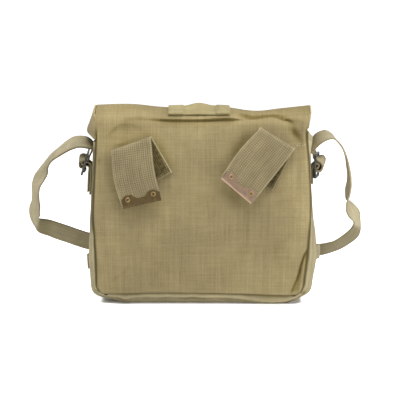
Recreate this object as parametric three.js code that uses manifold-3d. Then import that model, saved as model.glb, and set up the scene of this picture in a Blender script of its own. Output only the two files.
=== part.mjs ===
// Canvas field bag standing on its base. The back, which lies against the wearer, faces -Y.
// Millimetres, +X to the right as seen from the back, +Z up, the base rests on z = 0.
import * as THREE from "three";
import Module from "manifold-3d";
import { mergeVertices } from "three/addons/utils/BufferGeometryUtils.js";

const wasm = await Module();
wasm.setup();

// Cloth, webbing and the clearance left between two pieces
const CANVAS = 2;
const WEB = 2.4;
const WEB_WIDTH = 25.4;
const BROAD_WEB = 2.8;
const BROAD_WIDTH = 57;
const GAP = 0.3;
const CLOTH_GAP = 0.7;

// Lengths of the straight steps that stand for a bend
const STRIP_STEP = 6;
const STRAP_STEP = 12;
const THREADING_STEP = 3;

// Body of the bag
const SEAM_Z = 17;
const CORNER = 14;
const ROLL = 13;
const BACK_CROWN = 5;
const BACK_BELLY = 1.5;
const BELLY_ROLL = 60;
const SEWN_TO = 185;
const FREE_FROM = 245;
const FRONT_CROWN = 3.5;
const FRONT_TOP = 240;
const GUSSET_TOP_LEFT = 236;
const GUSSET_TOP_RIGHT = 251;
const GUSSET_SAG_RIGHT = 15;
const GUSSET_SAG_SPAN = 40;
const HEM_CORNER = 20;

// Carry handle and its tabs
const HANDLE_FROM = -46;
const HANDLE_TO = 37;
const HANDLE_RISE = 3.4;
const HANDLE_SEWN = 20;
const TAB_WEB = 1.6;
const TAB_WIDTH = 24;
const HANDLE_TABS = [
  { name: "left", from: -48, to: -26 },
  { name: "right", from: 20, to: 39 },
];

// Hook straps, hook plates and rivets
const FOLD_RADIUS = 5;
const FOLD_LEAD = 25;
const FOLD_MARGIN = 18;
const PLATE = 1.2;
const PLATE_WIDTH = 55;
const PLATE_LOBE = 17;
const PLATE_WAIST = 10;
const LOBE_FROM = 5;
const LOBE_FULL = 15;
const SHOULDER_FROM = 21;
const SHOULDER_DROP = 4;
const HOOK_LENGTH = 18;
const HOOK_ROOT = 4;
const PRONG_FULL = 4.5;
const PRONG_HALF = 6.5;
const RIVET_SPREAD = 18.5;
const RIVET_UP = 10.7;
const RIVET_SHANK = 2.2;
const RIVET_HEAD = 4;
const RIVET_BORE = 1.4;
const RIVET_SIDES = 12;
const HOLE_LENGTH = 20;

// Buckles and side loops
const BUCKLE_HEIGHT = 36;
const BUCKLE_WIDTH = 34;
const BUCKLE_BAR = 3;
const BUCKLE_THICK = 3.2;
const BUCKLE_CORNER = 4;
const SLOT_WIDTH = 28;
const SLOT_CORNER = 1.5;
const SIDE_TAB_HEIGHT = 20;

// Seam lines of the panels by height, and how far the side strip swells beyond them
const SIDES = [
  { z: 31, left: 153, right: 147, swellLeft: 9.5, swellRight: 14, back: -34, front: 36 },
  { z: 66, left: 153, right: 150.5, swellLeft: 11.5, swellRight: 15, back: -35, front: 37 },
  { z: 100, left: 154.5, right: 153.5, swellLeft: 8, swellRight: 10.5, back: -35.5, front: 37 },
  { z: 135, left: 156, right: 155, swellLeft: 4.5, swellRight: 4.5, back: -35.5, front: 37 },
  { z: 180, left: 153.5, right: 153.5, swellLeft: 5, swellRight: 3, back: -35, front: 36 },
  { z: 225, left: 151, right: 150, swellLeft: 4.5, swellRight: 5.5, back: -34, front: 34 },
  { z: 250, left: 150, right: 147.5, swellLeft: 4.5, swellRight: 10, back: -33, front: 33 },
];

// Run of the cover from the bottom hem of the back, over the top, to the hem of the front flap
const COVER = [
  { y: -34, z: 17, left: 153, right: 147, steps: 2 },
  { y: -34.2, z: 31, left: 153, right: 147, steps: 2 },
  { y: -35, z: 66, left: 153, right: 150.5, steps: 2 },
  { y: -35.5, z: 100, left: 154.5, right: 153.5, steps: 2 },
  { y: -35.5, z: 135, left: 156, right: 155, steps: 2 },
  { y: -35, z: 180, left: 153.5, right: 153.5, steps: 3 },
  { y: -34, z: 225, left: 151, right: 150, steps: 3 },
  { y: -33, z: 250, left: 150, right: 147.5, steps: 3 },
  { y: -32, z: 264, left: 150, right: 150, steps: 2 },
  { y: -29.5, z: 270, left: 150.5, right: 151, steps: 1 },
  { y: -24, z: 273.5, left: 151, right: 152, steps: 2 },
  { y: -13, z: 279.5, left: 151, right: 152.5, steps: 2 },
  { y: -2, z: 284, left: 151, right: 153, steps: 2 },
  { y: 10, z: 285, left: 151, right: 153, steps: 2 },
  { y: 23, z: 281, left: 151.5, right: 153, steps: 2 },
  { y: 33, z: 272, left: 152, right: 153, steps: 2 },
  { y: 39, z: 257, left: 154, right: 154, steps: 2 },
  { y: 42.5, z: 235, left: 156, right: 156, steps: 2 },
  { y: 44, z: 190, left: 157, right: 157, steps: 2 },
  { y: 44, z: 150, left: 157, right: 157, steps: 2 },
  { y: 43, z: 108, left: 157, right: 157, steps: 0 },
];

// Rows of that run at the near edge of the carry handle and along the top ridge
const HANDLE_ROW = 10;
const RIDGE_ROW = 13;

// Sag of the top ridge along the width
const RIDGE = [
  { x: -158, sag: 0 },
  { x: -103, sag: -1.5 },
  { x: -53, sag: 3 },
  { x: -10, sag: 1.5 },
  { x: 30, sag: 2.5 },
  { x: 76, sag: 8.5 },
  { x: 112, sag: 5 },
  { x: 158, sag: 0 },
];
const RIDGE_HALF = 24;

// Dents and creases of the cover: place, half length, half breadth, turn in degrees and depth
const DENTS = [
  { name: "crease under the handle", x: -5, run: 252, reach: 75, breadth: 5, turn: 0, depth: 3 },
  { name: "sweep at the top left", x: -95, run: 240, reach: 38, breadth: 9, turn: 16, depth: 3.5 },
  { name: "slant at the top right", x: 119, run: 252, reach: 16, breadth: 7, turn: -25, depth: 5 },
  { name: "hollow right of the handle", x: 67, run: 257, reach: 18, breadth: 8, turn: 0, depth: 4 },
  { name: "upright dent on the right", x: 135, run: 224, reach: 16, breadth: 8, turn: 85, depth: 3 },
  { name: "pucker at the low right", x: 143, run: 38, reach: 34, breadth: 6, turn: 77, depth: 3.5 },
];

// Side ears: share of the drop, and how far they stand off the edge of the top
const WING_LEFT = [
  { drop: 0, out: 0 },
  { drop: 0.35, out: 7 },
  { drop: 0.68, out: 11 },
  { drop: 0.9, out: 9 },
  { drop: 1, out: 7 },
];
const WING_RIGHT = [
  { drop: 0, out: 0 },
  { drop: 0.45, out: 1 },
  { drop: 1, out: 0 },
];
// Ears: runs of the cover where their lower corners are joined, and rise of the lower edge
const WINGS = [
  { side: -1, rows: WING_LEFT, backRun: 221, frontRun: 354, rise: 9 },
  { side: 1, rows: WING_RIGHT, backRun: 236, frontRun: 346, rise: 8 },
];
const WING_BACK_RUN = 258;
const WING_FRONT_RUN = 324;

// How freely an ear stands off between its back and front joins, in shares of its length
const WING_FREE = { full: 0.45, fall: 0.7, held: 0.8 };

// Broad straps: middle of the sewn end, lean from upright, fold and free length, degrees and millimetres,
// and how far the free flap swings aside in its own plane
const HOOKS = [
  { name: "left", side: -1, x: -67, z: 180.5, lean: 30, foldAt: 58, foldSlope: 19.3, free: 80, lift: 6, swing: 4.5 },
  { name: "right", side: 1, x: 74, z: 181, lean: -27, foldAt: 67, foldSlope: -31.7, free: 90, lift: 6, swing: 0 },
];

// Slide buckles: middle of the frame, measured outward, lean of the top toward the bag,
// bulge of the strap over the middle bar, and drop of the chape below the frame's middle
const BUCKLES = [
  { name: "left", side: -1, out: 168.5, z: 203, lean: 17, bulge: 1, foot: 46 },
  { name: "right", side: 1, out: 166, z: 197, lean: 6, bulge: 1.36, foot: 34 },
];

// Chape: length sewn down, drops below the buckle's middle where its inner layer goes up the side
// and its outer layer comes down, and the place where it leaves the side
const CHAPE_SEWN = 10;
const CHAPE_UP = [16, 4.5];
const CHAPE_DOWN = [5, 13, 22];
const CHAPE_LIFT = { share: 0.35, drop: 0.8 };

// Way of a chape round the middle bar, in radii of the turn
const CHAPE_TURN = [
  { off: -0.75, up: 0.8 },
  { off: 0, up: 1 },
  { off: 0.7, up: 0.7 },
  { off: 1, up: 0 },
  { off: 0.7, up: -0.7 },
  { off: 0, up: -1 },
  { off: -0.8, up: -0.75 },
];

// Way of the strap end through a buckle: off the frame and along the frame, from the tail up
const THREADING = [
  { off: -3, up: -13 },
  { off: -2.9, up: -10.8 },
  { off: -1.9, up: -8.5 },
  { off: 0, up: -7.3 },
  { off: 3.4, up: -6.6 },
  { off: 7.2, up: -4.4 },
  { off: 9.9, up: -0.5 },
  { off: 10.2, up: 4 },
  { off: 7.6, up: 8 },
  { off: 3.6, up: 9.6 },
  { off: 0, up: 10 },
  { off: -2.6, up: 11.2 },
  { off: -3.5, up: 14 },
  { off: -3.4, up: 17.5 },
];

// Free run of the shoulder strap from the left buckle to the right buckle: middle and width direction
const STRAP = [
  { x: -160, y: 0, z: 225.5, wx: -0.05, wy: -0.97, wz: -0.2 },
  { x: -167, y: 1.5, z: 231, wx: -0.04, wy: -0.87, wz: -0.5 },
  { x: -175.5, y: 3, z: 232.5, wx: 0.02, wy: -0.84, wz: -0.54 },
  { x: -184.5, y: 5, z: 231, wx: 0.13, wy: -0.83, wz: -0.55 },
  { x: -195.5, y: 7, z: 225.5, wx: 0.22, wy: -0.89, wz: -0.41 },
  { x: -206, y: 10, z: 218, wx: 0.29, wy: -0.92, wz: -0.25 },
  { x: -216, y: 12, z: 210.5, wx: 0.31, wy: -0.94, wz: -0.15 },
  { x: -224.5, y: 15, z: 201, wx: 0.4, wy: -0.92, wz: 0.05 },
  { x: -231, y: 17, z: 191, wx: 0.6, wy: -0.77, wz: 0.19 },
  { x: -235, y: 19, z: 182, wx: 0.79, wy: -0.6, wz: 0.11 },
  { x: -239.5, y: 21, z: 173, wx: 0.73, wy: -0.68, wz: 0.09 },
  { x: -243.5, y: 23, z: 164, wx: 0.58, wy: -0.81, wz: 0.11 },
  { x: -245, y: 25, z: 153.5, wx: 0.48, wy: -0.86, wz: 0.15 },
  { x: -246, y: 28, z: 141, wx: 0.53, wy: -0.83, wz: 0.15 },
  { x: -248, y: 33.5, z: 131.5, wx: 0.69, wy: -0.72, wz: 0.1 },
  { x: -249, y: 35, z: 122.5, wx: 0.68, wy: -0.71, wz: 0.19 },
  { x: -248.5, y: 36.5, z: 115.5, wx: 0.62, wy: -0.72, wz: 0.29 },
  { x: -247.5, y: 38.5, z: 110.5, wx: 0.51, wy: -0.73, wz: 0.45 },
  { x: -246, y: 40.5, z: 106.5, wx: 0.36, wy: -0.69, wz: 0.63 },
  { x: -244.5, y: 42, z: 103, wx: 0.24, wy: -0.56, wz: 0.79 },
  { x: -242, y: 43, z: 101, wx: 0.15, wy: -0.41, wz: 0.9 },
  { x: -237, y: 44, z: 99.5, wx: 0.11, wy: -0.29, wz: 0.95 },
  { x: -228, y: 45.5, z: 97, wx: 0.1, wy: -0.12, wz: 0.99 },
  { x: -219, y: 46, z: 93.5, wx: 0.17, wy: 0, wz: 0.98 },
  { x: -202.5, y: 47.5, z: 87.5, wx: 0.2, wy: 0, wz: 0.98 },
  { x: -185, y: 48.5, z: 81, wx: 0.2, wy: 0, wz: 0.98 },
  { x: -168.5, y: 49, z: 76, wx: 0.18, wy: 0, wz: 0.98 },
  { x: -120, y: 49, z: 68, wx: 0.12, wy: 0, wz: 0.99 },
  { x: -60, y: 48, z: 61, wx: 0.06, wy: 0, wz: 1 },
  { x: 0, y: 48, z: 58, wx: 0, wy: 0, wz: 1 },
  { x: 60, y: 48, z: 58, wx: -0.02, wy: -0.1, wz: 0.99 },
  { x: 120, y: 49, z: 60, wx: -0.04, wy: -0.3, wz: 0.95 },
  { x: 175, y: 49, z: 63, wx: -0.1, wy: -0.6, wz: 0.8 },
  { x: 188.5, y: 48, z: 65.5, wx: -0.16, wy: -0.65, wz: 0.74 },
  { x: 201, y: 46.5, z: 69.5, wx: -0.36, wy: -0.68, wz: 0.64 },
  { x: 209.5, y: 44.5, z: 74.5, wx: -0.42, wy: -0.66, wz: 0.62 },
  { x: 219.5, y: 42, z: 82.5, wx: -0.44, wy: -0.64, wz: 0.63 },
  { x: 227, y: 40, z: 90, wx: -0.52, wy: -0.64, wz: 0.57 },
  { x: 230, y: 38, z: 97, wx: -0.54, wy: -0.72, wz: 0.44 },
  { x: 231, y: 37, z: 103, wx: -0.49, wy: -0.8, wz: 0.34 },
  { x: 230, y: 35.5, z: 108, wx: -0.51, wy: -0.83, wz: 0.23 },
  { x: 227.5, y: 34, z: 114, wx: -0.63, wy: -0.77, wz: 0.08 },
  { x: 225, y: 32, z: 120.5, wx: -0.75, wy: -0.66, wz: -0.05 },
  { x: 222, y: 30.5, z: 126.5, wx: -0.74, wy: -0.67, wz: -0.09 },
  { x: 219, y: 28.5, z: 132.5, wx: -0.58, wy: -0.81, wz: -0.04 },
  { x: 216.5, y: 26.5, z: 137.5, wx: -0.39, wy: -0.92, wz: 0 },
  { x: 214.5, y: 25, z: 141, wx: -0.21, wy: -0.98, wz: 0.04 },
  { x: 214, y: 24, z: 144.5, wx: -0.01, wy: -0.98, wz: 0.18 },
  { x: 214.5, y: 23, z: 151, wx: 0.12, wy: -0.97, wz: 0.21 },
  { x: 215, y: 21, z: 162.5, wx: 0.19, wy: -0.96, wz: 0.21 },
  { x: 215.5, y: 19.5, z: 172.5, wx: 0.1, wy: -0.98, wz: 0.19 },
  { x: 215, y: 18, z: 182.5, wx: 0.05, wy: -0.98, wz: 0.17 },
  { x: 213, y: 17, z: 194, wx: 0.01, wy: -0.99, wz: 0.16 },
  { x: 209.5, y: 14.5, z: 210, wx: -0.07, wy: -0.99, wz: 0.15 },
  { x: 203.5, y: 12, z: 223.5, wx: -0.1, wy: -0.99, wz: 0.13 },
  { x: 193.5, y: 9, z: 234.5, wx: -0.11, wy: -0.99, wz: 0.11 },
  { x: 186.5, y: 7, z: 240, wx: -0.03, wy: -0.98, wz: -0.19 },
  { x: 179, y: 5, z: 241.5, wx: 0.1, wy: -0.91, wz: -0.41 },
  { x: 169, y: 3, z: 237, wx: 0.19, wy: -0.86, wz: -0.46 },
  { x: 163.5, y: 1.5, z: 229.5, wx: 0.19, wy: -0.87, wz: -0.45 },
  { x: 161, y: 0, z: 222, wx: 0.12, wy: -0.94, wz: -0.32 },
];

// Small side loops: middle height and how far they stand off
const SIDE_TABS = [
  { name: "left", side: -1, z: 57.5, reach: 1.6 },
  { name: "right", side: 1, z: 71.5, reach: 4.2 },
];

// Fold of a side loop from its back end: share of the reach
const SIDE_TAB_ROWS = [
  { y: -11, share: 0 },
  { y: -5, share: 0.03 },
  { y: -2.7, share: 0.4 },
  { y: 0, share: 1 },
  { y: 2.7, share: 0.4 },
  { y: 5, share: 0.03 },
  { y: 11, share: 0 },
];

const rad = THREE.MathUtils.degToRad;
const clamp = THREE.MathUtils.clamp;
const smooth = THREE.MathUtils.smoothstep;
const mix = THREE.MathUtils.lerp;

// Smooth reading of a table between its rows
function read(table, key, at) {
  let i = 0;
  while (i < table.length - 2 && at > table[i + 1][key]) {
    i += 1;
  }
  const a = table[i];
  const b = table[i + 1];
  const before = table[Math.max(i - 1, 0)];
  const after = table[Math.min(i + 2, table.length - 1)];
  const span = b[key] - a[key];
  const t = clamp((at - a[key]) / span, 0, 1);
  const row = {};
  for (const column of Object.keys(a)) {
    if (typeof a[column] !== "number") {
      continue;
    }
    const slopeA = ((b[column] - before[column]) / (b[key] - before[key])) * span;
    const slopeB = ((after[column] - a[column]) / (after[key] - a[key])) * span;
    const bend = t * t * (3 - 2 * t);
    const start = t * (1 - t) * (1 - t);
    const end = t * t * (1 - t);
    row[column] = mix(a[column], b[column], bend) + slopeA * start - slopeB * end;
  }
  return row;
}

// Adds to each row of a table the distance run up to it
function withRun(table) {
  let run = 0;
  return table.map((row, i) => {
    const last = table[Math.max(i - 1, 0)];
    run += Math.hypot((row.x ?? 0) - (last.x ?? 0), row.y - last.y, row.z - last.z);
    return { ...row, run };
  });
}

function steps(count) {
  return Array.from({ length: count + 1 }, (_, i) => i / count);
}

// Shares of a width that lie close together at both edges
function edgeSteps(count) {
  return steps(count).map((t) => 0.5 - 0.5 * Math.cos(Math.PI * t));
}

function normalAt(surface, u, v) {
  const h = 1e-4;
  const du = surface(Math.min(u + h, 1), v).sub(surface(Math.max(u - h, 0), v));
  const dv = surface(u, Math.min(v + h, 1)).sub(surface(u, Math.max(v - h, 0)));
  return du.cross(dv).normalize();
}

// Closed sheet about a surface, thickened by one amount along its normal and one against it
function sheet(surface, columns, rows, along, against) {
  const nu = columns.length;
  const nv = rows.length;
  const points = [];
  for (const offset of [along, -against]) {
    for (const v of rows) {
      for (const u of columns) {
        points.push(surface(u, v).addScaledVector(normalAt(surface, u, v), offset));
      }
    }
  }
  const half = nu * nv;
  const at = (i, j) => j * nu + i;
  const index = [];
  for (let j = 0; j < nv - 1; j += 1) {
    for (let i = 0; i < nu - 1; i += 1) {
      const [a, b, c, d] = [at(i, j), at(i + 1, j), at(i + 1, j + 1), at(i, j + 1)];
      index.push(a, b, c, a, c, d);
      index.push(half + a, half + c, half + b, half + a, half + d, half + c);
    }
  }
  const rim = [];
  for (let i = 0; i < nu - 1; i += 1) {
    rim.push(at(i, 0));
  }
  for (let j = 0; j < nv - 1; j += 1) {
    rim.push(at(nu - 1, j));
  }
  for (let i = nu - 1; i > 0; i -= 1) {
    rim.push(at(i, nv - 1));
  }
  for (let j = nv - 1; j > 0; j -= 1) {
    rim.push(at(0, j));
  }
  rim.forEach((p, i) => {
    const q = rim[(i + 1) % rim.length];
    index.push(q, p, half + p, q, half + p, half + q);
  });
  const geometry = new THREE.BufferGeometry().setFromPoints(points);
  geometry.setIndex(index);
  return geometry;
}

function toManifold(geometry) {
  const bare = new THREE.BufferGeometry();
  bare.setAttribute("position", geometry.getAttribute("position"));
  bare.setIndex(geometry.getIndex());
  const merged = mergeVertices(bare, 1e-4);
  const vertProperties = new Float32Array(merged.getAttribute("position").array);
  const triVerts = new Uint32Array(merged.getIndex().array);
  return new wasm.Manifold(new wasm.Mesh({ numProp: 3, vertProperties, triVerts }));
}

function fromManifold(solid) {
  const mesh = solid.getMesh();
  const geometry = new THREE.BufferGeometry();
  geometry.setAttribute("position", new THREE.BufferAttribute(new Float32Array(mesh.vertProperties), 3));
  geometry.setIndex(new THREE.BufferAttribute(new Uint32Array(mesh.triVerts), 1));
  return geometry;
}

// Rounded edge beside a seam: 0 at the seam, 1 from the reach of the roll on
function roll(distance, reach) {
  return Math.sin((clamp(distance / reach, 0, 1) * Math.PI) / 2);
}

function cornerInset(distance, radius) {
  const d = clamp(radius - distance, 0, radius);
  return radius - Math.sqrt(radius * radius - d * d);
}

const coverRun = withRun(COVER);
const COVER_LENGTH = coverRun[coverRun.length - 1].run;
const RIDGE_RUN = coverRun[RIDGE_ROW].run;
const HANDLE_RUN = coverRun[HANDLE_ROW].run - 1;

function dentDepth(x, run) {
  let depth = 0;
  for (const dent of DENTS) {
    const turn = rad(dent.turn);
    const dx = x - dent.x;
    const dr = run - dent.run;
    const a = (dx * Math.cos(turn) + dr * Math.sin(turn)) / dent.reach;
    const b = (dr * Math.cos(turn) - dx * Math.sin(turn)) / dent.breadth;
    depth += dent.depth * Math.exp(-a * a - b * b);
  }
  return depth;
}

// Outer face of the cover, u across from the left edge, run along from the bottom hem
function coverPoint(u, run) {
  const row = read(coverRun, "run", run);
  const ahead = read(coverRun, "run", Math.min(run + 0.5, COVER_LENGTH));
  const behind = read(coverRun, "run", Math.max(run - 0.5, 0));
  const slope = new THREE.Vector2(ahead.y - behind.y, ahead.z - behind.z).normalize();
  const inset = cornerInset(run, CORNER) + cornerInset(COVER_LENGTH - run, HEM_CORNER);
  const x = mix(-row.left + inset, row.right - inset, u);
  const toEdge = Math.min(x + row.left - inset, row.right - inset - x);
  const sewn = 1 - smooth(run, SEWN_TO, FREE_FROM);
  const crown = BACK_CROWN * roll(toEdge, ROLL) * roll(run, ROLL) * sewn;
  const across = (2 * x) / (row.left + row.right);
  const belly = BACK_BELLY * (1 - across * across) * roll(run, BELLY_ROLL) * sewn;
  const out = crown + belly - dentDepth(x, run) * roll(toEdge, ROLL);
  const ridge = Math.exp(-(((run - RIDGE_RUN) / RIDGE_HALF) ** 2));
  const sag = read(RIDGE, "x", x).sag * ridge;
  return new THREE.Vector3(x, row.y - slope.y * out, row.z + slope.x * out - sag);
}

function coverShare(x, run) {
  const row = read(coverRun, "run", run);
  return (x + row.left) / (row.left + row.right);
}

// Depth of the outer face of the back at a place on the back
function backY(x, z) {
  const run = z - SEAM_Z;
  return coverPoint(coverShare(x, run), run).y;
}

function buildCover() {
  const runs = [];
  coverRun.forEach((row, i) => {
    for (let k = 0; k < row.steps; k += 1) {
      runs.push(mix(row.run, coverRun[i + 1].run, k / row.steps));
    }
  });
  runs.push(COVER_LENGTH);
  const surface = (u, v) => coverPoint(u, v * COVER_LENGTH);
  return sheet(surface, edgeSteps(16), runs.map((run) => run / COVER_LENGTH), 0, CANVAS);
}

// Outer face of the side and base strip, measured outward from the middle of the bag
function gussetOut(side, z) {
  const row = read(SIDES, "z", z);
  return side < 0 ? row.left + row.swellLeft : row.right + row.swellRight;
}

// Stations of the strip down the left side, round the base and up the right side
function gussetPath() {
  const low = SEAM_Z + CORNER;
  const path = [];
  const sideStation = (side, z) => {
    const row = read(SIDES, "z", z);
    const seam = side < 0 ? row.left : row.right;
    const swell = side < 0 ? row.swellLeft : row.swellRight;
    return { x: side * seam, z, nx: side, nz: 0, swell, back: row.back, front: row.front };
  };
  const cornerStation = (side, turn) => {
    const foot = sideStation(side, low);
    const [c, s] = [Math.cos(turn), Math.sin(turn)];
    const x = foot.x - side * CORNER * (1 - c);
    const swell = mix(foot.swell, SEAM_Z, smooth(turn, 0, Math.PI / 2));
    return { ...foot, x, z: low - CORNER * s, nx: side * c, nz: -s, swell };
  };
  const sideSteps = 9;
  const cornerSteps = 4;
  const baseSteps = 6;
  for (let i = 0; i < sideSteps; i += 1) {
    path.push(sideStation(-1, mix(GUSSET_TOP_LEFT, low, i / sideSteps)));
  }
  for (let i = 0; i < cornerSteps; i += 1) {
    path.push(cornerStation(-1, ((i / cornerSteps) * Math.PI) / 2));
  }
  const [baseLeft, baseRight] = [cornerStation(-1, Math.PI / 2), cornerStation(1, Math.PI / 2)];
  for (let i = 0; i <= baseSteps; i += 1) {
    path.push({ ...baseLeft, x: mix(baseLeft.x, baseRight.x, i / baseSteps), nx: 0, nz: -1, swell: SEAM_Z });
  }
  for (let i = cornerSteps - 1; i >= 0; i -= 1) {
    path.push(cornerStation(1, ((i / cornerSteps) * Math.PI) / 2));
  }
  for (let i = 1; i <= sideSteps; i += 1) {
    path.push(sideStation(1, mix(low, GUSSET_TOP_RIGHT, i / sideSteps)));
  }
  return path;
}

function buildGusset() {
  const path = gussetPath();
  const last = path.length - 1;
  const station = (v) => {
    const i = Math.min(Math.floor(v * last + 1e-9), last - 1);
    const t = v * last - i;
    const row = {};
    for (const column of Object.keys(path[i])) {
      row[column] = mix(path[i][column], path[i + 1][column], t);
    }
    return row;
  };
  const surface = (u, v) => {
    const s = station(v);
    const back = s.back + CANVAS + GAP;
    const front = s.front - CANVAS - GAP;
    const y = mix(back, front, u);
    const out = s.swell * roll(Math.min(y - back, front - y), ROLL);
    const slack = s.nx > 0 ? smooth(s.z, GUSSET_TOP_RIGHT - GUSSET_SAG_SPAN, GUSSET_TOP_RIGHT) : 0;
    const sag = GUSSET_SAG_RIGHT * Math.sin(Math.PI * u) * slack;
    return new THREE.Vector3(s.x + s.nx * out, y, s.z + s.nz * out - sag);
  };
  const across = [0, 0.04, 0.1, 0.2, 0.4, 0.6, 0.8, 0.9, 0.96, 1];
  return sheet(surface, across, steps(last), 0, CANVAS);
}

function buildFront() {
  const surface = (u, v) => {
    const z = mix(FRONT_TOP, SEAM_Z, v);
    const row = read(SIDES, "z", z);
    const inset = cornerInset(z - SEAM_Z, CORNER);
    const x = mix(-row.left + inset, row.right - inset, u);
    const toEdge = Math.min(x + row.left - inset, row.right - inset - x, z - SEAM_Z);
    return new THREE.Vector3(x, row.front + FRONT_CROWN * roll(toEdge, ROLL), z);
  };
  return sheet(surface, edgeSteps(12), edgeSteps(10), 0, CANVAS);
}

// Ear of the top: joined to the edges of the cover at back and front, free between them
function buildWing(wing) {
  const edge = (run) => coverPoint(wing.side < 0 ? 0 : 1, run);
  const surface = (u, v) => {
    const along = wing.side < 0 ? u : 1 - u;
    const between = (share) => {
      const back = edge(mix(WING_BACK_RUN, wing.backRun, share));
      return back.lerp(edge(mix(WING_FRONT_RUN, wing.frontRun, share)), along);
    };
    const top = edge(mix(WING_BACK_RUN, WING_FRONT_RUN, along));
    const place = between(v).addScaledVector(top.sub(between(0)), 1 - v);
    const held = WING_FREE.held * smooth(along, WING_FREE.fall, 1);
    const free = smooth(along, 0, WING_FREE.full) * (1 - held);
    place.x += wing.side * (read(wing.rows, "drop", v).out * free + CLOTH_GAP + CANVAS);
    place.z += wing.rise * Math.sin(Math.PI * along) * v;
    return place;
  };
  return sheet(surface, steps(8), steps(5), 0, CANVAS);
}

// A strip lying on the top of the cover, raised off it by an amount that can vary along x
function topStrip(from, to, width, thick, rise) {
  const surface = (u, v) => {
    const x = mix(from, to, u);
    const run = HANDLE_RUN + WEB_WIDTH / 2 + (v - 0.5) * width;
    const place = (a, b) => coverPoint(coverShare(a, b), b);
    const here = place(x, run);
    const dx = place(x + 0.1, run).sub(place(x - 0.1, run));
    const dr = place(x, run + 0.1).sub(place(x, run - 0.1));
    return here.addScaledVector(dx.cross(dr).normalize(), rise(x));
  };
  const count = Math.round((to - from) / STRIP_STEP);
  return sheet(surface, steps(count), steps(3), thick / 2, thick / 2);
}

function handleRise(x) {
  const half = (HANDLE_TO - HANDLE_FROM) / 2 - HANDLE_SEWN;
  const t = (x - (HANDLE_FROM + HANDLE_TO) / 2) / half;
  const arch = Math.abs(t) < 1 ? 0.5 + 0.5 * Math.cos(Math.PI * t) : 0;
  return CLOTH_GAP + WEB / 2 + HANDLE_RISE * arch;
}

// Swings a place on a free flap aside: the middle line bends evenly, and its cross lines turn with it
function swingFlap(hook, place, middle, down, beyond) {
  const curve = rad(hook.swing) / hook.free;
  if (curve === 0 || beyond <= 0) {
    return place;
  }
  const turn = curve * beyond;
  const start = middle.clone().addScaledVector(down, -beyond);
  const aside = new THREE.Vector2(-down.y, down.x);
  start.addScaledVector(down, Math.sin(turn) / curve).addScaledVector(aside, (1 - Math.cos(turn)) / curve);
  return place.clone().sub(middle).rotateAround(new THREE.Vector2(), turn).add(start);
}

// Point of a broad strap: across its width and along from the sewn end, folded over its fold line
function hookPoint(hook, across, along) {
  const lean = rad(hook.lean);
  const slope = rad(hook.foldSlope);
  const up = new THREE.Vector2(-Math.sin(lean), Math.cos(lean));
  const wide = new THREE.Vector2(Math.cos(lean), Math.sin(lean));
  const foldAlong = new THREE.Vector2(Math.cos(slope), Math.sin(slope));
  const foldUp = new THREE.Vector2(-Math.sin(slope), Math.cos(slope));
  const foot = new THREE.Vector2(hook.x, hook.z);
  const fold = foot.clone().addScaledVector(up, hook.foldAt);
  const flat = foot.clone().addScaledVector(up, along).addScaledVector(wide, across);
  const off = flat.clone().sub(fold);
  const past = off.dot(foldUp);
  const lie = (p) => backY(p.x, p.y) - CLOTH_GAP - BROAD_WEB / 2;
  const sideways = [-0.5, 0, 0.5].map((t) => fold.clone().addScaledVector(foldAlong, t * BROAD_WIDTH));
  const foldY = Math.min(...sideways.map(lie));
  if (past <= 0) {
    const rest = lie(flat);
    const y = Math.min(rest, mix(rest, foldY, smooth(past, -FOLD_LEAD, 0)));
    return new THREE.Vector3(flat.x, y, flat.y);
  }
  const half = Math.PI * FOLD_RADIUS;
  const back = Math.max(past - half, 0);
  const turn = Math.min(past, half) / FOLD_RADIUS;
  const line = fold.clone().addScaledVector(foldAlong, off.dot(foldAlong));
  line.addScaledVector(foldUp, FOLD_RADIUS * Math.sin(turn) - back);
  const sideStep = up.dot(foldAlong);
  const downStep = up.dot(foldUp);
  const down = foldAlong.clone().multiplyScalar(sideStep).addScaledVector(foldUp, -downStep);
  const middlePast = (along - hook.foldAt) * downStep;
  const middle = fold.clone().addScaledVector(foldAlong, (along - hook.foldAt) * sideStep);
  middle.addScaledVector(foldUp, half - middlePast);
  const place = swingFlap(hook, line, middle, down, (middlePast - half) / downStep);
  const y = foldY - FOLD_RADIUS * (1 - Math.cos(turn)) - (hook.lift * back) / hook.free;
  return new THREE.Vector3(place.x, y, place.y);
}

function hookLength(hook) {
  return hook.foldAt + Math.PI * FOLD_RADIUS + hook.free;
}

// Frame at the free end of a broad strap: across, up toward the fold, and out of its outer face
function hookEnd(hook) {
  const length = hookLength(hook);
  const origin = hookPoint(hook, 0, length);
  const across = hookPoint(hook, 5, length).sub(hookPoint(hook, -5, length)).normalize();
  const up = hookPoint(hook, 0, length - 5).sub(origin).normalize();
  const out = new THREE.Vector3().crossVectors(across, up);
  if (out.y > 0) {
    out.negate();
  }
  return { origin, across, up, out };
}

function placeAt(end, x, h, n) {
  const p = end.origin.clone();
  return p.addScaledVector(end.across, x).addScaledVector(end.up, h).addScaledVector(end.out, n);
}

function rivetHoles(end) {
  const holes = [];
  for (const x of [-RIVET_SPREAD, RIVET_SPREAD]) {
    const hole = new THREE.CylinderGeometry(RIVET_SHANK + GAP, RIVET_SHANK + GAP, HOLE_LENGTH, RIVET_SIDES);
    const turn = new THREE.Quaternion().setFromUnitVectors(new THREE.Vector3(0, 1, 0), end.out);
    const middle = placeAt(end, x, RIVET_UP, 0);
    hole.applyQuaternion(turn);
    hole.translate(middle.x, middle.y, middle.z);
    holes.push(toManifold(hole));
  }
  return holes;
}

function cutHoles(geometry, holes) {
  let solid = toManifold(geometry);
  for (const hole of holes) {
    solid = solid.subtract(hole);
  }
  return fromManifold(solid);
}

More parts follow.
